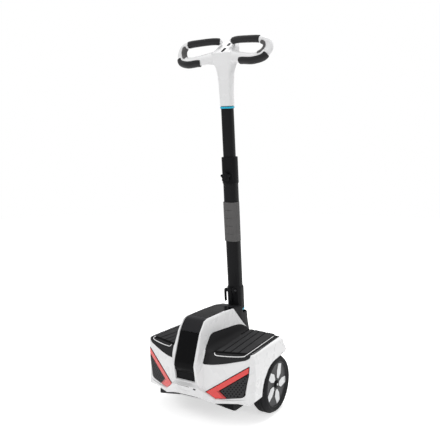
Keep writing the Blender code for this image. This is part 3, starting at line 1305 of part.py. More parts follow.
def make_loops():
    for label, side in SIDES:
        line = loop_points(side)
        rings = []
        for index in range(len(line)):
            insets = [GRIP_INSET] if FAR_GRIP[0] <= index <= FAR_GRIP[1] else [0.0]
            if index in FAR_GRIP:
                insets = [0.0, GRIP_INSET] if index == FAR_GRIP[0] else [GRIP_INSET, 0.0]
            rings += [bar_ring(line, index, inset) for inset in insets]
        loop = piece('handle_loop_' + label, loft(rings), WHITE, HEAD)
        low, high = sorted((side * -0.20, side * (BUTT_PLANE + GAP)))
        cut(loop, tool('loop_root_' + label, box((low, -0.10, 0.05), (high, 0.10, 0.1950)), HEAD))
        first, last = FAR_GRIP
        run = list(range(first, last + 1))
        skin = [bar_ring(line, index, -GRIP_PROUD) for index in run]
        bore = [bar_ring(line, index, GRIP_INSET - GAP) for index in reversed(run)]
        for ring, toward in ((skin[0], 1), (bore[-1], 1), (skin[-1], -1), (bore[0], -1)):
            place = first if toward > 0 else last
            step = (line[place + toward] - line[place]).normalized() * GAP
            ring[:] = [point + step for point in ring]
        piece('far_grip_' + label, loft(skin + bore, hollow=True), RUBBER, HEAD)
        cover = saddle(line, NEAR_GRIP, -1, NEAR_GRIP_SPREAD, GRIP_COVER, 8)
        piece('near_grip_' + label, cover, RUBBER, HEAD)
        lining = saddle(line, LINING, 1, LINING_SPREAD, LINING_THICKNESS, 4)
        piece('loop_lining_' + label, lining, GREY, HEAD)


make_shell()
make_mats()
make_spine()
make_column_cover()
make_tray()
make_lamps()
make_bumper_fittings()
make_inside()
for wheel_label, wheel_side in SIDES:
    make_wheel(wheel_label, wheel_side)
make_steering()
make_post()
make_head()
make_loops()
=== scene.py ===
# %% [markdown]
# # A self-balancing personal transporter
#
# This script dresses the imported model, which holds every piece at its real size, in metres.
# Most new pieces start from a copy of their plain twin there, and the others are drawn with
# measures from the axle's line. The cells go from the camera and the light, through the
# finishes, to the pieces from the floor up.

# %% Load the frame
import json
from math import cos, pi, radians, sin

import bmesh
import bpy
from mathutils import Matrix, Vector
from mathutils.bvhtree import BVHTree


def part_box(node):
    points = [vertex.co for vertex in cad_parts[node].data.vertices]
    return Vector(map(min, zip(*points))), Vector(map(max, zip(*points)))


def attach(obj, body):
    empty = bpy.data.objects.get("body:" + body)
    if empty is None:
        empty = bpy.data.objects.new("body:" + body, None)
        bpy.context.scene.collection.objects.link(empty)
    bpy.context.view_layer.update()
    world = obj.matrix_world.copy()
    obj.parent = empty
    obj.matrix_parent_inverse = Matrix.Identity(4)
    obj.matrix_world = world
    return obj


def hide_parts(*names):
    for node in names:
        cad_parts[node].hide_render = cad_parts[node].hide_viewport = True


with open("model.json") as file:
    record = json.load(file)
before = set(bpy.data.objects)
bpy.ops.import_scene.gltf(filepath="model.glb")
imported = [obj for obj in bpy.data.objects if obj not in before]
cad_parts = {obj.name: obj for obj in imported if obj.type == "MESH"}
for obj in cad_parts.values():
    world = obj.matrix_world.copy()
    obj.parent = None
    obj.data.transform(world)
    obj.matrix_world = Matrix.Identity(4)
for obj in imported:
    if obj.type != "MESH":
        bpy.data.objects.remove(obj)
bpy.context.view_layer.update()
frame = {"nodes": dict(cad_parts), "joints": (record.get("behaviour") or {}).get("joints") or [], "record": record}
nodes = frame["nodes"]

# %% [markdown]
# Each wheel turns about an axis that the frame's joints give. A wheel's pieces are drawn at
# the origin and then moved to that axis. The body's outlines are measured from the axle's
# line too, because a machine that balances is laid out around its axle.

# %% The axle
joints = {joint["name"]: joint for joint in frame["joints"]}
HUB_RIGHT = Vector(joints["right_wheel_spin"]["pos_m"])
AXLE = Vector((0.0, HUB_RIGHT.y, HUB_RIGHT.z))
SIDES = (("left", -1), ("right", 1))
print("right hub:", tuple(round(value, 4) for value in HUB_RIGHT))

# %% [markdown]
# The photograph was taken from behind the machine, a little to its right and from about waist
# height. The camera stands where the machine's outline falls on the same points of the
# picture. The lens was found with the place, because both change the outline.

# %% Camera
CAMERA_PLACE = (1.1246, -1.8783, 0.9312)
CAMERA_TURN = radians(30.838)
CAMERA_DIP = radians(7.061)
SENSOR = 36.0
VIEW_WIDTHS = 640 / 440     # focal length, in widths of the picture


def link(made):
    """Put an object into the scene."""
    bpy.context.scene.collection.objects.link(made)
    return made


camera_data = bpy.data.cameras.new("camera")
camera_data.sensor_width = SENSOR
camera_data.lens = SENSOR * VIEW_WIDTHS
camera = link(bpy.data.objects.new("camera", camera_data))
camera.location = CAMERA_PLACE
camera.rotation_euler = (pi / 2 - CAMERA_DIP, 0.0, CAMERA_TURN)
bpy.context.scene.camera = camera
bpy.context.scene.view_settings.view_transform = "Standard"
print("lens in mm:", round(camera_data.lens, 2))

# %% [markdown]
# ## Light
#
# The background is white. A world bright enough to look white would flood the machine with
# light, so a Light Path node tells the rays apart: a ray from the camera, a mirrored one or
# one that was let through sees plain white, and every other ray gets a weak even sky.

# %% White world
SKY_STRENGTH = 0.4
PURE_WHITE = (1.0, 1.0, 1.0, 1.0)


def node_with(tree, kind, **values):
    """Add one node to a tree and set its properties or its inputs by name."""
    made = tree.nodes.new(kind)
    for name, value in values.items():
        if name in made.inputs:
            made.inputs[name].default_value = value
        else:
            setattr(made, name.lower().replace(" ", "_"), value)
    return made


def white_where_seen(tree, lit, strength):
    """A white glow for camera, glossy and transmission rays, and the lit shader for the rest."""
    wire = tree.links.new
    path = tree.nodes.new("ShaderNodeLightPath")
    seen = node_with(tree, "ShaderNodeMath", operation="MAXIMUM")
    wire(path.outputs["Is Camera Ray"], seen.inputs[0])
    wire(path.outputs["Is Glossy Ray"], seen.inputs[1])
    either = node_with(tree, "ShaderNodeMath", operation="MAXIMUM")
    wire(seen.outputs[0], either.inputs[0])
    wire(path.outputs["Is Transmission Ray"], either.inputs[1])
    glow = node_with(tree, "ShaderNodeEmission", Strength=strength)
    glow.inputs["Color"].default_value = PURE_WHITE
    mix = tree.nodes.new("ShaderNodeMixShader")
    wire(either.outputs[0], mix.inputs["Fac"])
    wire(lit.outputs[0], mix.inputs[1])
    wire(glow.outputs[0], mix.inputs[2])
    return mix


world = bpy.data.worlds.new("studio")
world.use_nodes = True
tree = world.node_tree
sky = tree.nodes["Background"]
sky.inputs["Color"].default_value = PURE_WHITE
sky.inputs["Strength"].default_value = SKY_STRENGTH
world_mix = white_where_seen(tree, sky, 1.0)
tree.links.new(world_mix.outputs[0], tree.nodes["World Output"].inputs["Surface"])
bpy.context.scene.world = world
print("world nodes:", len(tree.nodes))

# %% [markdown]
# The floor has to look as white as the world and still keep the machine's shadow. It is a
# matte surface lit like any other, and a glow seen only through Light Path adds the rest of
# its white, so only the shadow is grey.

# %% Pale floor
def mesh_of(name, bm):
    """Turn a bmesh into a mesh, and drop it."""
    mesh = bpy.data.meshes.new(name)
    bm.to_mesh(mesh)
    bm.free()
    return mesh


FLOOR_WHITE = (0.95, 0.95, 0.95, 1.0)
FLOOR_GLOW = 0.62
FLOOR_RADIUS = 6.0
FLOOR_DROP = 0.0008         # keeps the floor clear of the tyres
floor_finish = bpy.data.materials.new("pale_floor")
floor_finish.use_nodes = True
tree = floor_finish.node_tree
shader = tree.nodes["Principled BSDF"]
shader.inputs["Base Color"].default_value = FLOOR_WHITE
shader.inputs["Roughness"].default_value = 0.9
shader.inputs["Specular IOR Level"].default_value = 0.0
dark = node_with(tree, "ShaderNodeEmission", Strength=0.0)
whitened = tree.nodes.new("ShaderNodeAddShader")
tree.links.new(shader.outputs[0], whitened.inputs[0])
tree.links.new(white_where_seen(tree, dark, FLOOR_GLOW).outputs[0], whitened.inputs[1])
tree.links.new(whitened.outputs[0], tree.nodes["Material Output"].inputs["Surface"])
disc = bmesh.new()
bmesh.ops.create_circle(disc, cap_ends=True, radius=FLOOR_RADIUS, segments=48)
floor = link(bpy.data.objects.new("floor", mesh_of("floor", disc)))
floor.location.z = -FLOOR_DROP
floor.data.materials.append(floor_finish)
print("floor faces:", len(floor.data.polygons))

# %% [markdown]
# Three large discs of light stand round the machine: a key lamp behind it on the left, a weak
# fill lamp on the right, and a strong lamp overhead. Large lamps give the soft shadows of a
# studio. Glossy rays don't see them, because a mirrored lamp would bleach the black plastic.

# %% Lamps
AIM = Vector((0.0, 0.0, 0.6))
LAMPS = (("key_lamp", (-1.6, -2.6, 2.6), 1.8, 36.0), ("fill_lamp", (2.8, -1.2, 1.6), 1.6, 18.0),
         ("top_lamp", (0.2, 0.8, 3.2), 1.6, 58.0))  # name, place, size and power
for name, place, size, power in LAMPS:
    lamp = bpy.data.lights.new(name, "AREA")
    lamp.shape = "DISK"
    lamp.size = size
    lamp.energy = power
    made = link(bpy.data.objects.new(name, lamp))
    made.visible_glossy = False
    made.location = place
    made.rotation_euler = (AIM - Vector(place)).to_track_quat("-Z", "Y").to_euler()
print("lamps:", len(LAMPS))

# %% [markdown]
# ## Finishes
#
# Each finish is one material made of nodes, so that it works at any distance and on any shape.
# Moulded plastic isn't one flat colour: it has a fine grain, a slight waviness from the mould,
# and a little dust that dulls it unevenly. All of that is noise at a real scale, read from
# Object coordinates, because every piece keeps its place in its mesh. A picture texture would
# need unwrapping and would blur close by.

# %% One finish made of noise
FINISHES = {}
CLOUD_SCALE = 22.0          # patches about 45 mm wide
WAVE_SIZE = 0.05
COAT_ROUGHNESS = 0.06
# Painted shade: where a point attribute says so, the base colour falls to this share of itself.
PAINTED_SHADE_FACTOR = 0.08           # what is left of the colour in a gap


def finish(name, colour, roughness, metallic=0.0, grain=0.0, grain_size=0.002, mottle=0.0, worn=0.0,
           coat=0.0, wave=0.0, shine=0.5):
    """Plain words for the values: grain is the depth of a fine bump in metres, mottle the change
    of colour over a few centimetres, worn the change of roughness, wave a slow bump, and shine
    the strength of the reflection."""
    made = bpy.data.materials.new(name)
    made.use_nodes = True
    tree = made.node_tree
    wire = tree.links.new
    shader = tree.nodes["Principled BSDF"]
    for socket, value in (("Metallic", metallic), ("Specular IOR Level", shine), ("Coat Weight", coat),
                          ("Coat Roughness", COAT_ROUGHNESS)):
        shader.inputs[socket].default_value = value
    place = tree.nodes.new("ShaderNodeTexCoord")
    cloud = node_with(tree, "ShaderNodeTexNoise", Scale=CLOUD_SCALE, Detail=3.0)
    wire(place.outputs["Object"], cloud.inputs["Vector"])
    tint = node_with(tree, "ShaderNodeMix", data_type="RGBA")
    low = [max(0.0, value * (1.0 - mottle)) for value in colour]
    high = [min(1.0, value * (1.0 + mottle)) for value in colour]
    tint.inputs["A"].default_value = (*low, 1.0)
    tint.inputs["B"].default_value = (*high, 1.0)
    wire(cloud.outputs["Fac"], tint.inputs["Factor"])
    # Painted shade: a point attribute darkens the base colour, in the foot mats' gaps and notches.
    painted_shade = node_with(tree, "ShaderNodeAttribute", attribute_name="painted_shade")
    shade = node_with(tree, "ShaderNodeMix", data_type="RGBA")
    shade.inputs["B"].default_value = [value * PAINTED_SHADE_FACTOR for value in colour] + [1.0]
    wire(painted_shade.outputs["Fac"], shade.inputs["Factor"])
    wire(tint.outputs["Result"], shade.inputs["A"])
    wire(shade.outputs["Result"], shader.inputs["Base Color"])
    dull = node_with(tree, "ShaderNodeMapRange", **{
        "From Min": 0.3, "From Max": 0.7, "To Min": max(0.02, roughness - worn),
        "To Max": min(1.0, roughness + worn)})
    wire(cloud.outputs["Fac"], dull.inputs["Value"])
    wire(dull.outputs["Result"], shader.inputs["Roughness"])
    bumps = None
    for depth, size, detail in ((grain, grain_size, 2.0), (wave, WAVE_SIZE, 1.0)):
        if not depth:
            continue
        noise = node_with(tree, "ShaderNodeTexNoise", Scale=1.0 / size, Detail=detail)
        wire(place.outputs["Object"], noise.inputs["Vector"])
        bump = node_with(tree, "ShaderNodeBump", Strength=1.0, Distance=depth)
        wire(noise.outputs["Fac"], bump.inputs["Height"])
        if bumps:
            wire(bumps.outputs["Normal"], bump.inputs["Normal"])
        bumps = bump
    if bumps:
        wire(bumps.outputs["Normal"], shader.inputs["Normal"])
    FINISHES[name] = made


print("colour patches in mm:", round(1000 / CLOUD_SCALE))

# %% [markdown]
# Black plastic reads as black only while it mirrors little, so most black finishes have a low
# shine. The rubber is lighter and duller than the plastic beside it, and the lid over the hump
# is the darkest of all. The white is kept below 0.85, so that its shading stays visible.

# %% The finishes
finish("white_shell", (0.84, 0.84, 0.845), 0.28, mottle=0.006, worn=0.03, coat=0.12, grain=0.00001,
       grain_size=0.0015)
finish("black_gloss", (0.0045, 0.0045, 0.005), 0.12, mottle=0.2, worn=0.04, wave=0.0001, shine=0.05)
finish("lid_black", (0.0025, 0.0025, 0.003), 0.25, mottle=0.2, worn=0.05, shine=0.015)
# A lighter copy of the strip's black for the panel over the bend: painted sheen.
finish("sheen_painted_black", (0.022, 0.022, 0.024), 0.3, mottle=0.1, worn=0.05, grain=0.00002,
       grain_size=0.0008, shine=0.06)
finish("black_plastic", (0.01, 0.01, 0.011), 0.45, mottle=0.15, worn=0.06, grain=0.00005,
       grain_size=0.0012, shine=0.05)
finish("mat_rubber", (0.036, 0.036, 0.0375), 0.66, mottle=0.12, worn=0.1, grain=0.0001,
       grain_size=0.001, shine=0.03)
finish("tyre", (0.015, 0.015, 0.016), 0.8, mottle=0.25, worn=0.08, grain=0.00012, grain_size=0.0014,
       shine=0.2)
finish("black_tube", (0.011, 0.011, 0.012), 0.36, mottle=0.12, worn=0.06, grain=0.00003,
       grain_size=0.0006, shine=0.08)
finish("dark_disc", (0.024, 0.024, 0.026), 0.42, mottle=0.12, worn=0.06, grain=0.00003, shine=0.2)
finish("light_inlay", (0.78, 0.79, 0.8), 0.32, mottle=0.02, worn=0.05, coat=0.1)
finish("grey_pad", (0.122, 0.119, 0.119), 0.76, mottle=0.08, worn=0.06, grain=0.00012, grain_size=0.001,
       shine=0.15)
finish("grip_rubber", (0.012, 0.012, 0.013), 0.44, mottle=0.2, worn=0.08, grain=0.00004, shine=0.25)
finish("blue_ring", (0.0, 0.44, 0.64), 0.3, mottle=0.04, worn=0.05, coat=0.2)
finish("steel", (0.075, 0.075, 0.08), 0.34, metallic=0.9, mottle=0.1, worn=0.08, grain=0.00003)
finish("cast_metal", (0.56, 0.56, 0.58), 0.5, metallic=1.0, mottle=0.08, worn=0.1, grain=0.00016,
       grain_size=0.0016)
finish("battery_wrap", (0.03, 0.06, 0.2), 0.38, mottle=0.1, worn=0.08, wave=0.0004)
finish("circuit_board", (0.02, 0.14, 0.06), 0.45, mottle=0.15, worn=0.06)
finish("red_lens", (0.78, 0.035, 0.03), 0.2, mottle=0.04, worn=0.04, coat=0.3)
# A darker copy of the red lens, for the lamp's facet: painted shade.
finish("shaded_red_lens", (0.45, 0.004, 0.004), 0.2, mottle=0.04, worn=0.04, coat=0.3)
finish("grille_back", (0.003, 0.003, 0.003), 0.6, mottle=0.1, worn=0.05, shine=0.05)
finish("grille_plastic", (0.05, 0.05, 0.052), 0.4, mottle=0.1, worn=0.06, grain=0.00003, shine=0.05)
print("finishes:", len(FINISHES))

# %% [markdown]
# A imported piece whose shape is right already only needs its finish. The record names a slot
# for each piece, and a finish above has the same name as its slot.

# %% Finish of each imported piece
SLOTS = {entry["node"]: entry["material_slot"] for entry in frame["record"]["subparts"]}
for name, node in nodes.items():
    node.data.materials.clear()
    node.data.materials.append(FINISHES[SLOTS[name]])
print("packed pieces given a finish:", len(nodes))

# %% [markdown]
# ## Tools for making pieces
#
# A piece is shaped as a bmesh and then kept as an object. Keeping it always means the same
# things: the shading is smooth up to a real edge, the finish is the one of its slot, and the
# piece rides on the body that its plain twin rides on. A Weighted Normal modifier keeps a
# large face looking flat beside its narrow bevels, which smooth shading alone wouldn't.

# %% Keep a shaped bmesh as a piece
TWINS = frame["record"]["behaviour"]["bodies"]


def body_of_node(name):
    return next(body for body, members in TWINS.items() if name in members)


def keep(name, bm, slot, twins, body=None, crease=34, weigh=True, finish_name=None):
    """Make an object of a bmesh, in place of its plain twins in the frame."""
    twins = [twins] if isinstance(twins, str) else list(twins)
    mesh = mesh_of(name, bm)
    mesh.shade_smooth()
    mesh.set_sharp_from_angle(angle=radians(crease))
    mesh.materials.append(FINISHES[finish_name or slot])
    made = link(bpy.data.objects.new(name, mesh))
    if weigh:
        normals = made.modifiers.new("weighted_normals", "WEIGHTED_NORMAL")
        normals.keep_sharp = True
    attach(made, body or body_of_node(twins[0]))
    if twins:
        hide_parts(*twins)
    return made


def twin(name):
    """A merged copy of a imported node's mesh, with its flat faces whole again."""
    bm = bmesh.new()
    bm.from_mesh(nodes[name].data)
    bmesh.ops.remove_doubles(bm, verts=bm.verts, dist=0.00002)
    bmesh.ops.dissolve_limit(bm, angle_limit=radians(0.8), verts=bm.verts, edges=bm.edges,
                             use_dissolve_boundaries=False)
    return bm


def bevel_edges(bm, edges, width, segments):
    bmesh.ops.bevel(bm, geom=edges, offset=width, offset_type="OFFSET", segments=segments, profile=0.5,
                    affect="EDGES", clamp_overlap=True, material=-1)
    return bm


def round_edges(bm, width, segments=2, turn=30):
    """Bevel every edge where the surface turns by more than an angle."""
    return bevel_edges(bm, [edge for edge in bm.edges if len(edge.link_faces) == 2
                            and edge.calc_face_angle(0.0) > radians(turn)], width, segments)


def face_outwards(bm):
    bmesh.ops.recalc_face_normals(bm, faces=bm.faces)
    return bm


print("bodies:", len(TWINS))

# %% [markdown]
# ## Wheels
#
# Each wheel is an 8 inch tyre on a dark dished disc, with five light panels round a small hub
# cap. A tyre is a ring, so its section is drawn once and spun round the axle: bead, sidewall
# with a raised rib, rounded shoulder, and three grooves round the tread.

# %% Tyres
def spun(profile, steps):
    """Turn a closed profile of (x, radius) round the x axis."""
    bm = bmesh.new()
    line = [bm.verts.new((x, 0.0, radius)) for x, radius in profile]
    edges = [bm.edges.new(pair) for pair in zip(line, line[1:] + line[:1])]
    bmesh.ops.spin(bm, geom=line + edges, cent=(0, 0, 0), axis=(1, 0, 0), dvec=(0, 0, 0),
                   angle=2 * pi, steps=steps, use_merge=True, use_duplicate=False)
    bmesh.ops.remove_doubles(bm, verts=bm.verts, dist=0.00001)
    return face_outwards(bm)


TREAD = 0.1
HALF_TYRE = 0.029
SIDEWALL = [(0.003, 0.0786), (0.0012, 0.08), (0.001, 0.0822), (0.0002, 0.0828), (0.0002, 0.0842),
            (0.0006, 0.0848), (0.0, 0.0865), (0.0008, 0.0895), (0.0036, 0.0926), (0.0082, 0.0956),
            (0.0115, 0.0978)]  # inset from the tyre's side, and radius
GROOVE_FLOOR = TREAD - 0.0024
TURN_STEPS = 96


def tyre_section():
    half = [(HALF_TYRE - inset, radius) for inset, radius in SIDEWALL] + [(0.015, 0.0992)]
    for middle in (0.0125, 0.0):
        half += [(middle + 0.0016, TREAD - 0.0004), (middle + 0.001, GROOVE_FLOOR)]
        if middle:
            half += [(middle - 0.001, GROOVE_FLOOR), (middle - 0.0016, TREAD)]
    return half + [(-x, radius) for x, radius in reversed(half)]


def keep_wheels(name, shape, slot, node=None, **more):
    """Keep one copy of a shape at each hub."""
    for label, side in SIDES:
        twins = node + "_" + label if node else []
        keep(name + "_" + label, at_hub(shape.copy(), side), slot, twins, body=label + "_wheel", **more)
    shape.free()


def at_hub(bm, side):
    """Move a shape from the origin to a hub. The left one is a mirror image of the right one."""
    hub = Vector((side * HUB_RIGHT.x, HUB_RIGHT.y, HUB_RIGHT.z))
    bmesh.ops.transform(bm, matrix=Matrix.Translation(hub) @ Matrix.Diagonal((side, 1, 1, 1)), verts=bm.verts)
    return face_outwards(bm)


tyre = spun(tyre_section(), TURN_STEPS)
print("tyre faces:", len(tyre.faces))
keep_wheels("tyre_shaped", tyre, "tyre", "tyre", crease=28)

# %% [markdown]
# The disc is spun too. Its face is set in from the tyre and falls a little towards the hub,
# and a thin raised lip runs round it where it meets the tyre.

# %% Discs
FACE = 0.0216               # from the middle of the tyre to the disc's face
disc_section = [(-0.026, 0.078), (0.0268, 0.078), (0.0274, 0.0774), (0.027, 0.0764), (0.024, 0.0758),
                (0.0226, 0.0752), (FACE, 0.074), (FACE - 0.0006, 0.05), (FACE - 0.0016, 0.024),
                (FACE - 0.0004, 0.0185), (FACE - 0.0002, 0.015), (FACE - 0.001, 0.014),
                (FACE - 0.001, 0.0), (FACE - 0.0055, 0.0), (FACE - 0.0055, 0.0735), (-0.026, 0.0745)]
disc = spun(disc_section, TURN_STEPS)
print("disc faces:", len(disc.faces))
keep_wheels("disc", disc, "dark_disc", "wheel_rim", crease=22)

# %% [markdown]
# The five panels are separate flat blocks with slanted ends, each let into the disc. One is
# drawn as an outline, given its thickness and a small bevel, and turned into its five places.
# A thin, wider and darker plate behind each panel makes the joint round it, which is simpler
# than cutting a pocket into the disc. The plate is set off to one side, so the dark line is
# wider along one edge of each panel: a painted shadow.

# %% Light panels
def of_kind(items, kind):
    return [item for item in items if isinstance(item, kind)]


def plate(outline, depth, lift):
    """Extrude a flat outline. Lift turns each of its points (a, b) into a place."""
    bm = bmesh.new()
    rim = [bm.verts.new(lift(a, b)) for a, b in outline]
    face = bm.faces.new(rim)
    swept = bmesh.ops.extrude_face_region(bm, geom=[face])
    bmesh.ops.translate(bm, verts=of_kind(swept["geom"], bmesh.types.BMVert), vec=depth)
    return face_outwards(bm)


def absorb(bm, other):
    """Take another bmesh into this one."""
    mesh = mesh_of("absorbed", other)
    bm.from_mesh(mesh)
    bpy.data.meshes.remove(mesh)
    return bm


PANELS = 5
FIRST_PANEL = radians(62)
panel_outline = [(0.0195, -0.005), (0.0215, 0.007), (0.041, 0.0172), (0.068, 0.019), (0.0735, -0.003),
                 (0.041, -0.015), (0.025, -0.0095)]
# Set off by 1.2 mm, so the dark joint is wider along one edge: painted shadow.
joint_and_shadow_outline = [(0.049 + (a - 0.049) * 1.05, b * 1.08 - 0.0012) for a, b in panel_outline]


def five_blocks(outline, depth, thickness, bevel=0.0):
    """A flat block in the disc's face, turned into its five places."""
    whole = bmesh.new()
    for index in range(PANELS):
        angle = FIRST_PANEL + 2 * pi * index / PANELS
        turned = [(a * cos(angle) - b * sin(angle), a * sin(angle) + b * cos(angle)) for a, b in outline]
        block_here = plate(turned, (thickness, 0, 0), lambda y, z: (FACE - depth, y, z))
        absorb(whole, round_edges(block_here, bevel, 2) if bevel else block_here)
    return whole


keep_wheels("wheel_panels", five_blocks(panel_outline, 0.0016, 0.0022, 0.0006), "light_inlay", "wheel_insert")
keep_wheels("panel_joints_and_shadow", five_blocks(joint_and_shadow_outline, 0.0012, 0.001), "black_plastic")
print("panels in a wheel:", PANELS)

# %% [markdown]
# The hub cap is a small dark turned cap with a bright centre. Both are spun from a section, as
# the tyre is, so their steps stay perfectly round.

# %% Hub caps
CAP = [(-0.0008, 0.0), (-0.0008, 0.0138), (0.0012, 0.0138), (0.0022, 0.0128), (0.0022, 0.0112),
       (0.0046, 0.01), (0.0051, 0.0092), (0.0051, 0.0052), (0.0042, 0.0046), (0.0042, 0.0)]
CENTRE = [(0.0038, 0.0), (0.0038, 0.0044), (0.0046, 0.0044), (0.005, 0.0038), (0.0051, 0.0)]
for name, section, steps, slot, node in (("hub_cap_shaped", CAP, 40, "black_plastic", "hub_cap"),
                                         ("hub_centre", CENTRE, 28, "light_inlay", None)):
    keep_wheels(name, spun([(FACE + out, radius) for out, radius in section], steps), slot, node)
print("wheels done")

# %% [markdown]
# ## Body
#
# The shell is one moulding. No edge of a moulding is sharp, because the plastic has to leave
# its mould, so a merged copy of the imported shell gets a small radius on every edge. The two
# upright corners beside the wheels get a larger one, as on the real shell. Their edges are
# found by where they are and how their faces point.

# %% Shell
CORNER_RADIUS = 0.007
EDGE_RADIUS = 0.0016


def upright_corners(bm):
    """The edges where the rear face turns into the side."""
    found = []
    for edge in bm.edges:
        if len(edge.link_faces) != 2:
            continue
        first, second = (face.normal for face in edge.link_faces)
        rear, side = sorted((first, second), key=lambda normal: abs(normal.x))
        middle = (edge.verts[0].co + edge.verts[1].co) / 2
        if rear.y < -0.7 and abs(side.x) > 0.8 and abs(middle.x) > 0.19 and 0.1 < middle.z < 0.26:
            found.append(edge)
    return found


shell = twin("upper_shell")
corners = upright_corners(shell)
bevel_edges(shell, corners, CORNER_RADIUS, 4)
round_edges(shell, EDGE_RADIUS, 2, 26)
keep("shell_moulding", shell, "white_shell", "upper_shell", crease=40)
print("corner edges rounded:", len(corners))

# %% [markdown]
# The fender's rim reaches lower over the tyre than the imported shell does. It is a thin plate
# just inside the fender's face: its lower edge follows the line of the real rim.

# %% Fender rims
def near_axle(x, y, z):
    """A place given from the axle's line, which is where the body was measured from."""
    return Vector((x, AXLE.y + y, z))


def mirrored(bm):
    """The left twin of a right-hand shape."""
    made = bm.copy()
    bmesh.ops.scale(made, vec=(-1, 1, 1), verts=made.verts)
    bmesh.ops.reverse_faces(made, faces=made.faces)
    return made


def keep_both(name, bm, slot, node=None, **more):
    """Keep a right-hand shape and its mirror image."""
    for label, shape in (("right", bm.copy()), ("left", mirrored(bm))):
        twins, body = (node + "_" + label, None) if node else ([], "base")
        keep(name + "_" + label, shape, slot, twins, body=body, **more)
    bm.free()


RIM_LINE = [(0.0665, 0.206), (0.048, 0.2008), (0.0287, 0.1968), (0.0022, 0.1951), (-0.018, 0.1936),
            (-0.0364, 0.1908), (-0.0573, 0.1834), (-0.0737, 0.1732), (-0.0897, 0.156), (-0.0977, 0.1485)]
ARCH = 0.1155               # radius of the plate's upper edge, inside the fender
RIM_INSIDE = 0.2079
RIM_THICK = 0.0018
arch_angles = [radians(angle) for angle in range(150, 54, -8)]
rim_back = [(ARCH * cos(angle), AXLE.z + ARCH * sin(angle)) for angle in arch_angles]
rim = plate(RIM_LINE + rim_back, (RIM_THICK, 0, 0), lambda y, z: near_axle(RIM_INSIDE, y, z))
rim = round_edges(rim, 0.0005, 2)
print("fender rim faces:", len(rim.faces))
keep_both("fender_rim", rim, "white_shell")

# %% [markdown]
# ## Foot mats
#
# A foot mat is one sheet of rubber. It starts high on the wall of the hump, turns through a
# hollow on to the deck, and folds down over the rear edge. Four broad ribs stand on it, and its
# outer border is notched. It is drawn as a flat grid: each column becomes a line from front to
# rear on the wall, the hollow or the deck, and its last rows are folded down. Columns inside a
# rib are raised. A point attribute paints shade into the colour: the gaps beside the ribs and
# the notches get a dark painted shade, and the sheet and the wall are a little darker than the
# rib tops.

# %% The surface that a mat lies on
def between(table, value):
    """Read a value from a table of pairs, straight between them."""
    for (low, first), (high, second) in zip(table, table[1:]):
        if value <= high:
            return first + (second - first) * max(0.0, (value - low) / (high - low))
    return table[-1][1]


MAT_LIFT = 0.0009           # the mat's face above the shell
MAT_THICK = 0.0026
RISE = 0.0995               # how far the wall leans out for each metre down
WALL_TOP = [(-0.223, 0.252), (-0.2061, 0.2616), (-0.1913, 0.2732), (-0.1769, 0.2885), (-0.168, 0.2948),
            (-0.16, 0.2972), (-0.1237, 0.2956), (-0.0669, 0.2911), (-0.0341, 0.2896), (0.006, 0.2854),
            (0.0263, 0.2814), (0.045, 0.275), (0.0597, 0.2686), (0.069, 0.26), (0.0754, 0.2528)]
LOW_EDGE = [(0.052, 0.232), (0.0535, 0.224), (0.056, 0.2188), (0.061, 0.216), (0.0789, 0.2157),
            (0.0962, 0.217), (0.1278, 0.2221), (0.1564, 0.2284), (0.1819, 0.2342), (0.19, 0.2375),
            (0.1965, 0.243)]
OUTER_EDGE = [(0.0, 0.188), (0.4, 0.1937), (0.75, 0.199), (0.92, 0.1996), (1.0, 0.1965)]
FRONT_EDGE = [(0.05, 0.0754), (0.1025, 0.074), (0.148, 0.068), (0.19, 0.062)]
HOLLOW = [(0.0685, 0.25), (0.064, 0.2503), (0.06, 0.2512), (0.0565, 0.2528), (0.0535, 0.2552),
          (0.0512, 0.2585), (0.0497, 0.2622), (0.0489, 0.266)]
RIB = 0.0034                # how far a rib stands above the sheet
RIBS = [(0.065, 0.0795, 0.085, 0.1048), (0.0835, 0.1029, 0.109, 0.1284), (0.1069, 0.1289, 0.1326, 0.1538),
        (0.1331, 0.1655, 0.1582, 0.1812)]  # each rib's two edges at the front, then at the rear
RIB_END = 0.95              # where the ribs end, as a share of the run from front to rear
NOTCH_PITCH = 0.048
NOTCH_HALF = 0.006
DECK = 0.25                 # height of the deck


def crease_y(x):
    """Where the deck ends at the rear, and the mat folds down."""
    return 0.3285 * x - 0.2376


def band_y(x, z):
    """The sloping white band under the fold."""
    return (0.272 * x + 0.42 * z - 0.3017) / 0.828


def wall_line(top):
    """Points up the hollow and the wall, from the deck to a height."""
    line = [Vector((x, 0.0, z)) for x, z in HOLLOW if z < top]
    if top < HOLLOW[-1][1]:
        return line + [Vector((between([(z, x) for x, z in HOLLOW], top), 0.0, top))]
    return line + [Vector((0.0448 + RISE * (0.297 - top), 0.0, top))]


def along(line, share):
    """The place at a share of a line's length."""
    lengths = [(b - a).length for a, b in zip(line, line[1:])]
    left = share * sum(lengths)
    for (a, b), length in zip(zip(line, line[1:]), lengths):
        if left <= length:
            return a.lerp(b, left / length if length else 0.0)
        left -= length
    return line[-1]


print("mat ribs:", len(RIBS))

# %% [markdown]
# The grid's columns and rows are listed as shares of the way. They lie close together where
# the sheet bends or steps, at a rib's edge or a notch, and far apart where it is flat. That
# keeps the mesh small, which an even grid wouldn't.

# %% The columns and rows of a mat
WALL_SHARES = [1.0, 0.985, 0.93, 0.85, 0.75, 0.65, 0.55, 0.46, 0.38, 0.3, 0.23, 0.16, 0.1, 0.05, 0.0]
FOLDS = [0.05, 0.12, 0.25, 0.4, 0.55, 0.7, 0.82, 0.92, 0.98, 1.0]
ROWS = [0.0, 0.006, 0.014]
notches = [0.05 + NOTCH_PITCH * step for step in range(19)]
for notch in notches:
    ROWS += [notch - 0.009, notch - NOTCH_HALF, notch + NOTCH_HALF, notch + 0.009]
ROWS += [RIB_END - 0.004, RIB_END, RIB_END + 0.006, RIB_END + 0.01, 0.985, 1.0]
ROWS = sorted(set(round(row, 4) for row in ROWS))

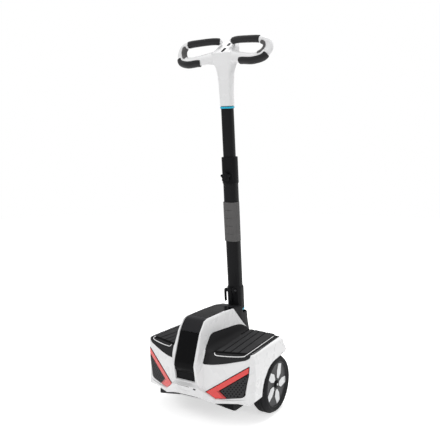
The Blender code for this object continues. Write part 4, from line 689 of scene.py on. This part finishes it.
deck_columns = []           # front x, rear x, kind
for left_front, right_front, left_rear, right_rear in RIBS:
    deck_columns += [(left_front - 0.0007, left_rear - 0.0007, "gap"), (left_front, left_rear, "rib"),
                     (right_front, right_rear, "rib"), (right_front + 0.0007, right_rear + 0.0007, "gap")]
deck_columns += [(0.1718, 0.1868, "sheet"), (0.173, 0.188, "sheet"), (0.1736, 0.1886, "notch"),
                 (0.181, 0.1925, "notch"), (None, None, "notch")]  # the last one is the outer edge


def mat_point(column, row):
    """Where the grid's point goes, how far it stands up, and how much painted shade its colour
    gets. A row below the fold is given as one plus its share of the fold."""
    run = min(row, 1.0)
    if column < len(WALL_SHARES):
        y = FRONT_EDGE[0][1] + (crease_y(0.0524) - FRONT_EDGE[0][1]) * run
        place = along(wall_line(between(WALL_TOP, y)), WALL_SHARES[column])
        x, z = place.x, place.z
        y = FRONT_EDGE[0][1] + (crease_y(x) - FRONT_EDGE[0][1]) * run
        if row > 1.0:
            z = z + (between(LOW_EDGE, x) - z) * (row - 1.0)
            y = band_y(x, min(z, DECK))
        return (x, y, z), 0.0, 0.35
    front, rear, kind = deck_columns[column - len(WALL_SHARES)]
    x = between(OUTER_EDGE, run) if front is None else front + (rear - front) * run
    y_front = between(FRONT_EDGE, x) - (0.0 if kind == "rib" else 0.0028)
    y = y_front + (crease_y(x) - y_front) * run
    # Painted shade: the sheet is a little darker than the rib tops, and the gaps and notches get the full painted
    # shade.
    z, raised, dark = DECK, 0.0, 0.15
    if row > 1.0:
        z = DECK + (between(LOW_EDGE, x) - DECK) * (row - 1.0)
        y = band_y(x, z)
    elif kind == "rib" and 0.0 < row <= RIB_END:
        raised, dark = RIB, 0.0
    elif kind in ("rib", "gap") and run <= 0.985:
        dark = 1.0
    elif kind == "notch" and any(abs(run - notch) < NOTCH_HALF + 0.0005 for notch in notches):
        raised, dark = -0.0006, 1.0
    return (x, y, z), raised, dark


def mat_sheet():
    columns = len(WALL_SHARES) + len(deck_columns)
    rows = ROWS + [1.0 + fold for fold in FOLDS]
    bm = bmesh.new()
    bmesh.ops.create_grid(bm, x_segments=columns - 1, y_segments=len(rows) - 1, size=0.5)
    painted_shade = bm.verts.layers.float.new("painted_shade")
    raises = {}
    for vert in bm.verts:
        column = round((vert.co.x + 0.5) * (columns - 1))
        row = rows[round((0.5 - vert.co.y) * (len(rows) - 1))]
        place, raises[vert], vert[painted_shade] = mat_point(column, row)
        vert.co = near_axle(*place)
    face_outwards(bm)
    if sum(face.normal.z for face in bm.faces) < 0:
        bmesh.ops.reverse_faces(bm, faces=bm.faces)
    bm.normal_update()
    lifted = {vert: vert.co + vert.normal * MAT_LIFT + Vector((0, 0, raises[vert])) for vert in bm.verts}
    for vert, place in lifted.items():
        vert.co = place
    return bm


mat = mat_sheet()
bmesh.ops.solidify(mat, geom=mat.faces[:], thickness=MAT_THICK)
face_outwards(mat)
round_edges(mat, 0.0006, 2, 65)
print("mat faces:", len(mat.faces))
keep_both("foot_mat_shaped", mat, "mat_rubber", "foot_mat", crease=30)

# %% [markdown]
# A thin white line is let into each mat. It is an oval swept along a smooth line: across the
# fold at the rear, round the corner, and forward along the outer edge. A curve object with a
# bevel can't turn its flat side to follow the mat.

# %% Inlaid lines
def sweep(frames, sides):
    """Draw a unit circle through a row of frames. A frame's first two axes hold half the width
    and half the thickness of the section there."""
    bm = bmesh.new()
    bmesh.ops.create_circle(bm, cap_ends=False, segments=sides, radius=1.0, matrix=frames[0])
    ring = bm.edges[:]
    ends = [ring]
    for before, after in zip(frames, frames[1:]):
        swept = bmesh.ops.extrude_edge_only(bm, edges=ring)["geom"]
        verts = of_kind(swept, bmesh.types.BMVert)
        bmesh.ops.transform(bm, matrix=after @ before.inverted(), verts=verts)
        ring = [edge for edge in of_kind(swept, bmesh.types.BMEdge) if set(edge.verts) <= set(verts)]
    ends.append(ring)
    for end in ends:
        bmesh.ops.contextual_create(bm, geom=end)
    return face_outwards(bm)


def smooth_line(points, steps=6):
    """A row of points on a smooth curve through the given ones."""
    points = [Vector(point) for point in points]
    line = []
    for index in range(len(points) - 1):
        before = points[max(index - 1, 0)]
        start, end = points[index], points[index + 1]
        after = points[min(index + 2, len(points) - 1)]
        for step in range(steps):
            t = step / steps
            square = 2 * before - 5 * start + 4 * end - after
            cube = 3 * start - before - 3 * end + after
            line.append(0.5 * (2 * start + (end - before) * t + square * t * t + cube * t * t * t))
    return line + [points[-1]]


def ribbon(line, up, half, thick, sides=12):
    """Sweep an oval along a line: half its width, and half its thickness in the direction up."""
    frames = []
    for index, point in enumerate(line):
        ahead = (line[min(index + 1, len(line) - 1)] - line[max(index - 1, 0)]).normalized()
        normal = up(point) if callable(up) else Vector(up)
        normal = (normal - ahead * normal.dot(ahead)).normalized()
        across = ahead.cross(normal)
        turned = Matrix((across * half, normal * thick, ahead)).transposed().to_4x4()
        frames.append(Matrix.Translation(point) @ turned)
    return sweep(frames, sides)


BAND_UP = Vector((0.272, -0.828, 0.42)).normalized()
UP = Vector((0, 0, 1))
trim_low = [(0.0862, 0.2474), (0.0895, 0.2448), (0.0965, 0.2434), (0.1236, 0.2428), (0.1559, 0.2438),
            (0.176, 0.2458), (0.1815, 0.2482)]
trim_line = [(0.0846, crease_y(0.0846) + 0.001, DECK)] + [(x, band_y(x, z), z) for x, z in trim_low]
for y in (-0.1715, -0.16, -0.12, -0.0766, -0.03, 0.0107, 0.0467):
    trim_line.append((0.169 + 0.0157 * (0.068 - y) / 0.246, y, DECK))


def mat_up(point):
    """The direction out of the mat, which turns from up to backwards at the fold."""
    share = min(1.0, max(0.0, (DECK - point.z) / 0.003))
    return UP.lerp(BAND_UP, share).normalized()


trim_path = [place + mat_up(place) * (MAT_LIFT + 0.0004) for place in
             smooth_line([near_axle(*point) for point in trim_line], 6)]
trim = ribbon(trim_path, mat_up, 0.0014, 0.0008)
keep_both("mat_line", trim, "white_shell", "mat_trim")
print("points along a line:", len(trim_path))

# %% [markdown]
# ## The black strip
#
# The strip over the hump is made of three panels: a black lid on top, a panel over the bend,
# and a long gloss panel at the rear. The panel over the bend has the same black painted
# lighter, as a painted sheen. The imported upper cover holds the first two, so a copy is cut in
# two with bisect_plane, and each half is closed and gets soft edges.

# %% Panels of the strip
def part_of(name, place, normal):
    """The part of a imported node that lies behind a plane, closed again."""
    bm = twin(name)
    cut = bmesh.ops.bisect_plane(bm, geom=bm.verts[:] + bm.edges[:] + bm.faces[:], dist=0.00001,
                                 plane_co=place, plane_no=normal, clear_outer=True)
    bmesh.ops.holes_fill(bm, edges=of_kind(cut["geom_cut"], bmesh.types.BMEdge))
    return face_outwards(bm)


SEAM = near_axle(0, -0.17, 0)
HALF_SEAM = 0.0004
lid = part_of("spine_cover_upper", SEAM + Vector((0, HALF_SEAM, 0)), (0, -1, 0))
bend = part_of("spine_cover_upper", SEAM - Vector((0, HALF_SEAM, 0)), (0, 1, 0))
keep("strip_lid", round_edges(lid, 0.0007, 2, 40), "black_gloss", "spine_cover_upper", crease=30,
     finish_name="lid_black")
# The bend panel gets the lighter black: painted sheen.
keep("strip_bend", round_edges(bend, 0.0007, 2, 40), "black_gloss", [], body="base", crease=30,
     finish_name="sheen_painted_black")
keep("strip_rear", round_edges(twin("spine_cover_lower"), 0.0008, 2, 40), "black_gloss", "spine_cover_lower",
     crease=30)
low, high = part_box("spine_cover_lower")
print("strip panels done, the rear one from", round(low[2], 4), "to", round(high[2], 4), "m high")

# %% [markdown]
# Under the strip's foot the shell has a pocket. The imported parts leave it open to the inside,
# so a black plate closes it at the back; its black is painted shade for the recess.

# %% Pocket under the strip
def block(low, high):
    """A box between two corners."""
    bm = bmesh.new()
    size = Vector(high) - Vector(low)
    middle = (Vector(high) + Vector(low)) / 2
    bmesh.ops.create_cube(bm, size=1.0, matrix=Matrix.Translation(middle) @ Matrix.Diagonal((*size, 1.0)))
    return bm


# Painted shade: the pocket's back is black to stand for the shade in the recess.
pocket = block(near_axle(-0.0385, -0.248, 0.15), near_axle(0.04, -0.244, 0.196))
keep("pocket_back_painted_shade", round_edges(pocket, 0.001, 2), "black_plastic", [], body="base")
print("pocket closed")

# %% [markdown]
# ## Tail lamps
#
# Each lamp is a red chevron over a perforated field, in one black frame. They are flat, so
# each is drawn as an outline on the plane of the rear face and given a thickness. The frame
# is the largest and lies lowest, so that a thin black line shows all round.

# %% The plane of the rear face
FACE_START = Vector((0.058, -0.2365))
FACE_RUN = Vector((0.141, 0.0575)).normalized()
FACE_OUT = Vector((FACE_RUN.y, -FACE_RUN.x, 0.0))


def on_face(x, z, out):
    """A place on the rear face, and a way out of it."""
    share = (x - FACE_START.x) / FACE_RUN.x
    return near_axle(x, FACE_START.y + share * FACE_RUN.y, z) + FACE_OUT * out


def face_plate(outline, low, high):
    """A plate on the rear face between two heights above it."""
    return plate(outline, FACE_OUT * (high - low), lambda x, z: on_face(x, z, low))


print("the face points to", tuple(round(value, 3) for value in FACE_OUT))

# %% [markdown]
# The outlines are given by their places across and up. A joint between two colours looks real
# when one outline is grown or shrunk from the other, so that the gap has one width.

# %% Frame, chevron and facet
def grown(outline, step):
    """An outline moved outwards by a step on every side."""
    moved = []
    count = len(outline)
    for index in range(count):
        before, here, after = (Vector(outline[(index + shift) % count]) for shift in (-1, 0, 1))
        first = (here - before).normalized()
        second = (after - here).normalized()
        first_out, second_out = Vector((first.y, -first.x)), Vector((second.y, -second.x))
        corner = (first_out + second_out).normalized()
        moved.append(tuple(here + corner * (step / max(0.35, corner.dot(first_out)))))
    return moved


LAMP = [(0.0655, 0.1245), (0.0945, 0.1035), (0.13, 0.106), (0.169, 0.1105), (0.1765, 0.1125),
        (0.1805, 0.1165), (0.182, 0.123), (0.1945, 0.185), (0.1962, 0.2145)]
CHEVRON = [(0.0655, 0.1245), (0.0945, 0.1035), (0.13, 0.106), (0.1065, 0.1305), (0.195, 0.1935),
           (0.1962, 0.2145)]
FACET = [(0.0985, 0.13), (0.118, 0.1085), (0.127, 0.1088), (0.1055, 0.13)]
FIELD = [(0.1088, 0.13), (0.1315, 0.1066), (0.169, 0.111), (0.1765, 0.113), (0.1805, 0.117),
         (0.1818, 0.1232), (0.194, 0.185), (0.1944, 0.1905)]
frame_plate = face_plate(grown(LAMP, 0.0012), -0.004, 0.0006)
chevron = round_edges(face_plate(grown(CHEVRON, -0.0008), 0.0, 0.0022), 0.0006, 2)
facet = face_plate(FACET, 0.0, 0.0025)
keep_both("lamp_frame", frame_plate, "black_gloss", "lamp_housing", finish_name="grille_back")
keep_both("lamp_chevron", chevron, "red_lens", "tail_lamp")
# The facet is the red lens painted darker: painted shade on the lens's facet.
keep_both("lamp_facet", facet, "red_lens", finish_name="shaded_red_lens")
print("chevron corners:", len(CHEVRON))

# %% [markdown]
# The field is pierced by rows of round holes. Each hole has few sides, because there are so
# many of them. One EXACT boolean cuts them all, and the black frame shows at their bottom.

# %% Perforated field
def with_modifiers(made):
    """The mesh that an object's modifiers make of it."""
    return bpy.data.meshes.new_from_object(made.evaluated_get(bpy.context.evaluated_depsgraph_get()))


def carve(made, cutter):
    """Cut a working shape out of a piece, and drop it."""
    tool = link(bpy.data.objects.new("cutter", mesh_of("cutter", cutter)))
    knife = made.modifiers.new("carve", "BOOLEAN")
    knife.operation = "DIFFERENCE"
    knife.solver = "EXACT"
    knife.object = tool
    carved = with_modifiers(made)
    made.modifiers.remove(knife)
    made.data = carved
    bpy.data.objects.remove(tool, do_unlink=True)


HOLE = 0.0026               # radius
PITCH = 0.0106
ROW_STEP = 0.0074
FIRST_HOLE = (0.104, 0.108)


def inside(outline, x, z, margin):
    """True where a point lies in a convex outline by a margin."""
    for (x0, z0), (x1, z1) in zip(outline, outline[1:] + outline[:1]):
        run = Vector((x1 - x0, z1 - z0))
        if run.cross(Vector((x - x0, z - z0))) < margin * run.length:
            return False
    return True


def holes():
    """The pins that pierce the right field, every other row moved by half a pitch."""
    bm = bmesh.new()
    turn = FACE_OUT.to_track_quat("Z", "Y").to_matrix().to_4x4()
    for row in range(16):
        for column in range(14):
            x = FIRST_HOLE[0] + PITCH * (column + 0.5 * (row % 2))
            z = FIRST_HOLE[1] + ROW_STEP * row
            if inside(FIELD, x, z, HOLE + 0.001):
                place = Matrix.Translation(on_face(x, z, 0.001)) @ turn
                bmesh.ops.create_cone(bm, cap_ends=True, segments=10, radius1=HOLE, radius2=HOLE, depth=0.004,
                                      matrix=place)
    return bm


field = face_plate(grown(FIELD, -0.0006), 0.0002, 0.0012)
keep_both("lamp_field", field, "black_plastic", weigh=False, crease=20, finish_name="grille_plastic")
pins = holes()
carve(bpy.data.objects["lamp_field_left"], mirrored(pins))
carve(bpy.data.objects["lamp_field_right"], pins)

# %% [markdown]
# ## Bumper and tray
#
# The charge flap is white like the bumper, so only the shadow line over it shows. Paint on a
# texture could draw that line, but a thin dark ribbon stays sharp at any distance. The power
# button is a small black oval.

# %% Bumper details
slit = [near_axle(-0.0225, -0.2674, 0.144), near_axle(0.0, -0.2672, 0.1434),
        near_axle(0.0225, -0.2674, 0.1428)]
slit_ribbon = ribbon(smooth_line(slit, 4), (0, -0.95, -0.32), 0.0007, 0.0004)
keep("flap_shadow_line", slit_ribbon, "black_plastic", [], body="base", finish_name="grille_back")
keep("power_button_cap", round_edges(twin("power_button"), 0.0006, 2), "black_plastic", "power_button")
keep("charge_flap_panel", round_edges(twin("charge_flap"), 0.0006, 2), "white_shell", "charge_flap")
print("slit length in mm:", round((slit[-1] - slit[0]).length * 1000, 1))

# %% [markdown]
# The tray closes the machine from below. Its keel rises towards the rear, and most of all in
# the middle, so little of it shows there. Each corner of the copy that lies lower than this
# slope is lifted to it.

# %% Tray
KEEL_START = 0.088          # height in the middle, 0.20 m behind the axle
KEEL_SIDE = 0.15            # how fast it falls to the sides
KEEL_RUN = 0.42             # how fast it falls to the front
KEEL_TOP = 0.1
pan = twin("bottom_tray")
for vert in pan.verts:
    keel = KEEL_START - KEEL_SIDE * abs(vert.co.x) - KEEL_RUN * (vert.co.y - AXLE.y + 0.2)
    vert.co.z = max(vert.co.z, min(keel, KEEL_TOP))
bmesh.ops.remove_doubles(pan, verts=pan.verts, dist=0.00002)
keep("bottom_pan", round_edges(pan, 0.001, 2), "black_plastic", "bottom_tray")
print("body done")

# %% [markdown]
# ## Post
#
# The post is made of straight tubes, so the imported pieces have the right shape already. What
# they lack is soft edges, which every extruded or moulded part has. One loop gives each piece
# its own width of bevel.

# %% Post fittings
FITTINGS = (("post_socket", "black_tube", 0.0014, 34), ("lower_tube", "black_tube", 0.001, 30),
            ("upper_tube", "black_tube", 0.001, 30), ("star_knob", "black_plastic", 0.0012, 34),
            ("latch_lever", "black_plastic", 0.001, 34), ("ring_lower", "blue_ring", 0.0005, 34),
            ("ring_upper", "blue_ring", 0.0005, 34), ("latch_pin", "steel", 0.0002, 34))
for name, slot, width, crease in FITTINGS:
    keep(name + "_soft", round_edges(twin(name), width, 2), slot, name, crease=crease)
print("post fittings softened:", len(FITTINGS))

# %% [markdown]
# The height clamp is a short sleeve over the tubes, with a chamfered shoulder. Its wall is
# thin, so the copy is drawn in a little from the left and the right.

# %% Clamp collar
COLLAR_DRAWN_IN = 0.92
collar = twin("clamp_collar")
low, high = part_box("clamp_collar")
middle = (Vector(low) + Vector(high)) / 2
bmesh.ops.scale(collar, vec=(COLLAR_DRAWN_IN, 1.0, 1.0), space=Matrix.Translation(-middle),
                verts=collar.verts)
keep("clamp_collar_soft", round_edges(collar, 0.0018, 2), "black_plastic", "clamp_collar")
print("collar width in mm:", round((high[0] - low[0]) * COLLAR_DRAWN_IN * 1000, 1))

# %% [markdown]
# The cover round the foot of the post is a blown shape with no sharp edge at all. A voxel
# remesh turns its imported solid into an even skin, and a few rounds of smoothing round it. A
# bevel can't do this, because its width is limited by the shortest edge beside it.

# %% Column cover
SMOOTHING = 0.5


def one_skin(bm, size, rounds):
    """Turn a heap of closed shapes into one even skin, and smooth it."""
    heap = link(bpy.data.objects.new("skin", mesh_of("skin", bm)))
    voxels = heap.modifiers.new("voxels", "REMESH")
    voxels.mode = "VOXEL"
    voxels.voxel_size = size
    joined = with_modifiers(heap)
    bpy.data.objects.remove(heap, do_unlink=True)
    bm = bmesh.new()
    bm.from_mesh(joined)
    for _ in range(rounds):
        bmesh.ops.smooth_vert(bm, verts=bm.verts, factor=SMOOTHING, use_axis_x=True, use_axis_y=True,
                              use_axis_z=True)
    return bm


cover = one_skin(twin("column_cover"), 0.0016, 10)
print("column cover:", len(cover.faces), "faces")
keep("column_cover_soft", cover, "black_plastic", "column_cover", crease=60, weigh=False)

# %% [markdown]
# The knee pad is a soft rubber sheet glued round the lower tube. Its imported solid already has
# its grooves, so a copy only gets soft edges.

# %% Knee pad
pad = keep("knee_pad_sheet", round_edges(twin("knee_pad"), 0.0012, 3), "grey_pad", "knee_pad")
print("knee pad faces:", len(pad.data.polygons))

# %% [markdown]
# ## Handlebar
#
# The stem, the crown and both loops are one smooth white moulding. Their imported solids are
# separate and have flat sides, so copies of the three are joined, turned into one even skin
# with a voxel remesh, and smoothed until the joints flow into each other.

# %% One skin for the head and the loops
MOULDED = ["stem_head", "handle_loop_left", "handle_loop_right"]
heap = bmesh.new()
for name in MOULDED:
    absorb(heap, twin(name))
skin = one_skin(heap, 0.0016, 14)
print("head and loops:", len(skin.faces), "faces")
moulding = keep("handlebar_moulding", skin, "white_shell", MOULDED, crease=60, weigh=False)

# %% [markdown]
# A near grip covers only the outer half of its bar, so that the white bar shows on the inside:
# it is an oval swept along the bar, moved outwards by a few millimetres. A smooth curve
# through a few points from the head gives the bar's line.

# %% Near grips
HEAD = near_axle(0.0, 0.0155, 1.0487)
OPENING = HEAD + Vector((0.108, -0.03, 0.186))
OPENING_FROM, OPENING_TO = 0.06, 0.135  # how far the loop's opening reaches along x
LOOP_UP = Vector((0.12, -0.9, 0.36)).normalized()
LINE_STEPS = 6
NEAR_BAR = [(0.078, -0.043, 0.155), (0.0915, -0.047, 0.153), (0.125, -0.049, 0.15), (0.151, -0.041, 0.157),
            (0.16, -0.035, 0.166)]
NEAR_OUTWARDS = [0.0105, 0.009, 0.0085, 0.009, 0.0085]  # one distance for each point


def loop_line(points):
    return smooth_line([HEAD + Vector(point) for point in points], LINE_STEPS)


def to_opening(point):
    """The way from a bar to the loop's opening, in the plane of the loop."""
    towards = OPENING - point
    towards.x = min(max(point.x, OPENING_FROM), OPENING_TO) - point.x
    towards -= LOOP_UP * towards.dot(LOOP_UP)
    return towards.normalized()


outwards = list(enumerate(NEAR_OUTWARDS))
grip_line = [point - to_opening(point) * between(outwards, index / LINE_STEPS)
             for index, point in enumerate(loop_line(NEAR_BAR))]
near_grip = round_edges(ribbon(grip_line, LOOP_UP, 0.0125, 0.014, 24), 0.003, 3, 50)
print("near grip faces:", len(near_grip.faces))
keep_both("near_grip_soft", near_grip, "grip_rubber", "near_grip", crease=50)

# %% [markdown]
# The grey lining is a thin band on the inside of the loop's end. A swept ribbon would sink
# into the smoothed bar in places. So a grid is laid round the bar, and a ray from outside
# finds the moulding's own surface for each of its points.

# %% Linings
END_BAR = [(0.14, -0.045, 0.153), (0.153, -0.04, 0.158), (0.168, -0.026, 0.18), (0.163, -0.022, 0.202),
           (0.15, -0.0245, 0.208)]
LINING_FROM, LINING_TO = radians(-35), radians(60)  # from the loop's inside towards its rear
LINING_LIFT = 0.0007
LINING_THICK = 0.0016
RAY_START = 0.026           # outside the bar, but not yet in the bar opposite
surface = BVHTree.FromObject(moulding, bpy.context.evaluated_depsgraph_get())
end_line = loop_line(END_BAR)
lining = bmesh.new()
bmesh.ops.create_grid(lining, x_segments=8, y_segments=len(end_line) - 1, size=0.5)
for vert in lining.verts:
    point = end_line[round((vert.co.y + 0.5) * (len(end_line) - 1))]
    angle = LINING_FROM + (LINING_TO - LINING_FROM) * (vert.co.x + 0.5)
    away = to_opening(point) * cos(angle) + LOOP_UP * sin(angle)
    hit = surface.ray_cast(point + away * RAY_START, -away)[0]
    vert.co = (hit or point) + away * LINING_LIFT
bmesh.ops.reverse_faces(lining, faces=lining.faces)  # solidify grows a sheet against its normals
bmesh.ops.solidify(lining, geom=lining.faces[:], thickness=LINING_THICK)
face_outwards(lining)
print("lining faces:", len(lining.faces))
keep_both("loop_lining_soft", lining, "grey_pad", "loop_lining", crease=50)

# %% [markdown]
# The far grips are round rubber sleeves, smoothed like the moulding with a finer skin. The two
# dark slots on top of the head are small flat pieces, and only get soft edges.

# %% Far grips and slots
for label, _ in SIDES:
    far_grip = one_skin(twin("far_grip_" + label), 0.0009, 5)
    keep("far_grip_soft_" + label, far_grip, "grip_rubber", "far_grip_" + label, crease=60, weigh=False)
for name, slot in (("battery_window", "black_gloss"), ("mode_button", "black_plastic")):
    keep(name + "_soft", round_edges(twin(name), 0.0004, 2), slot, name)
print("handlebar done")
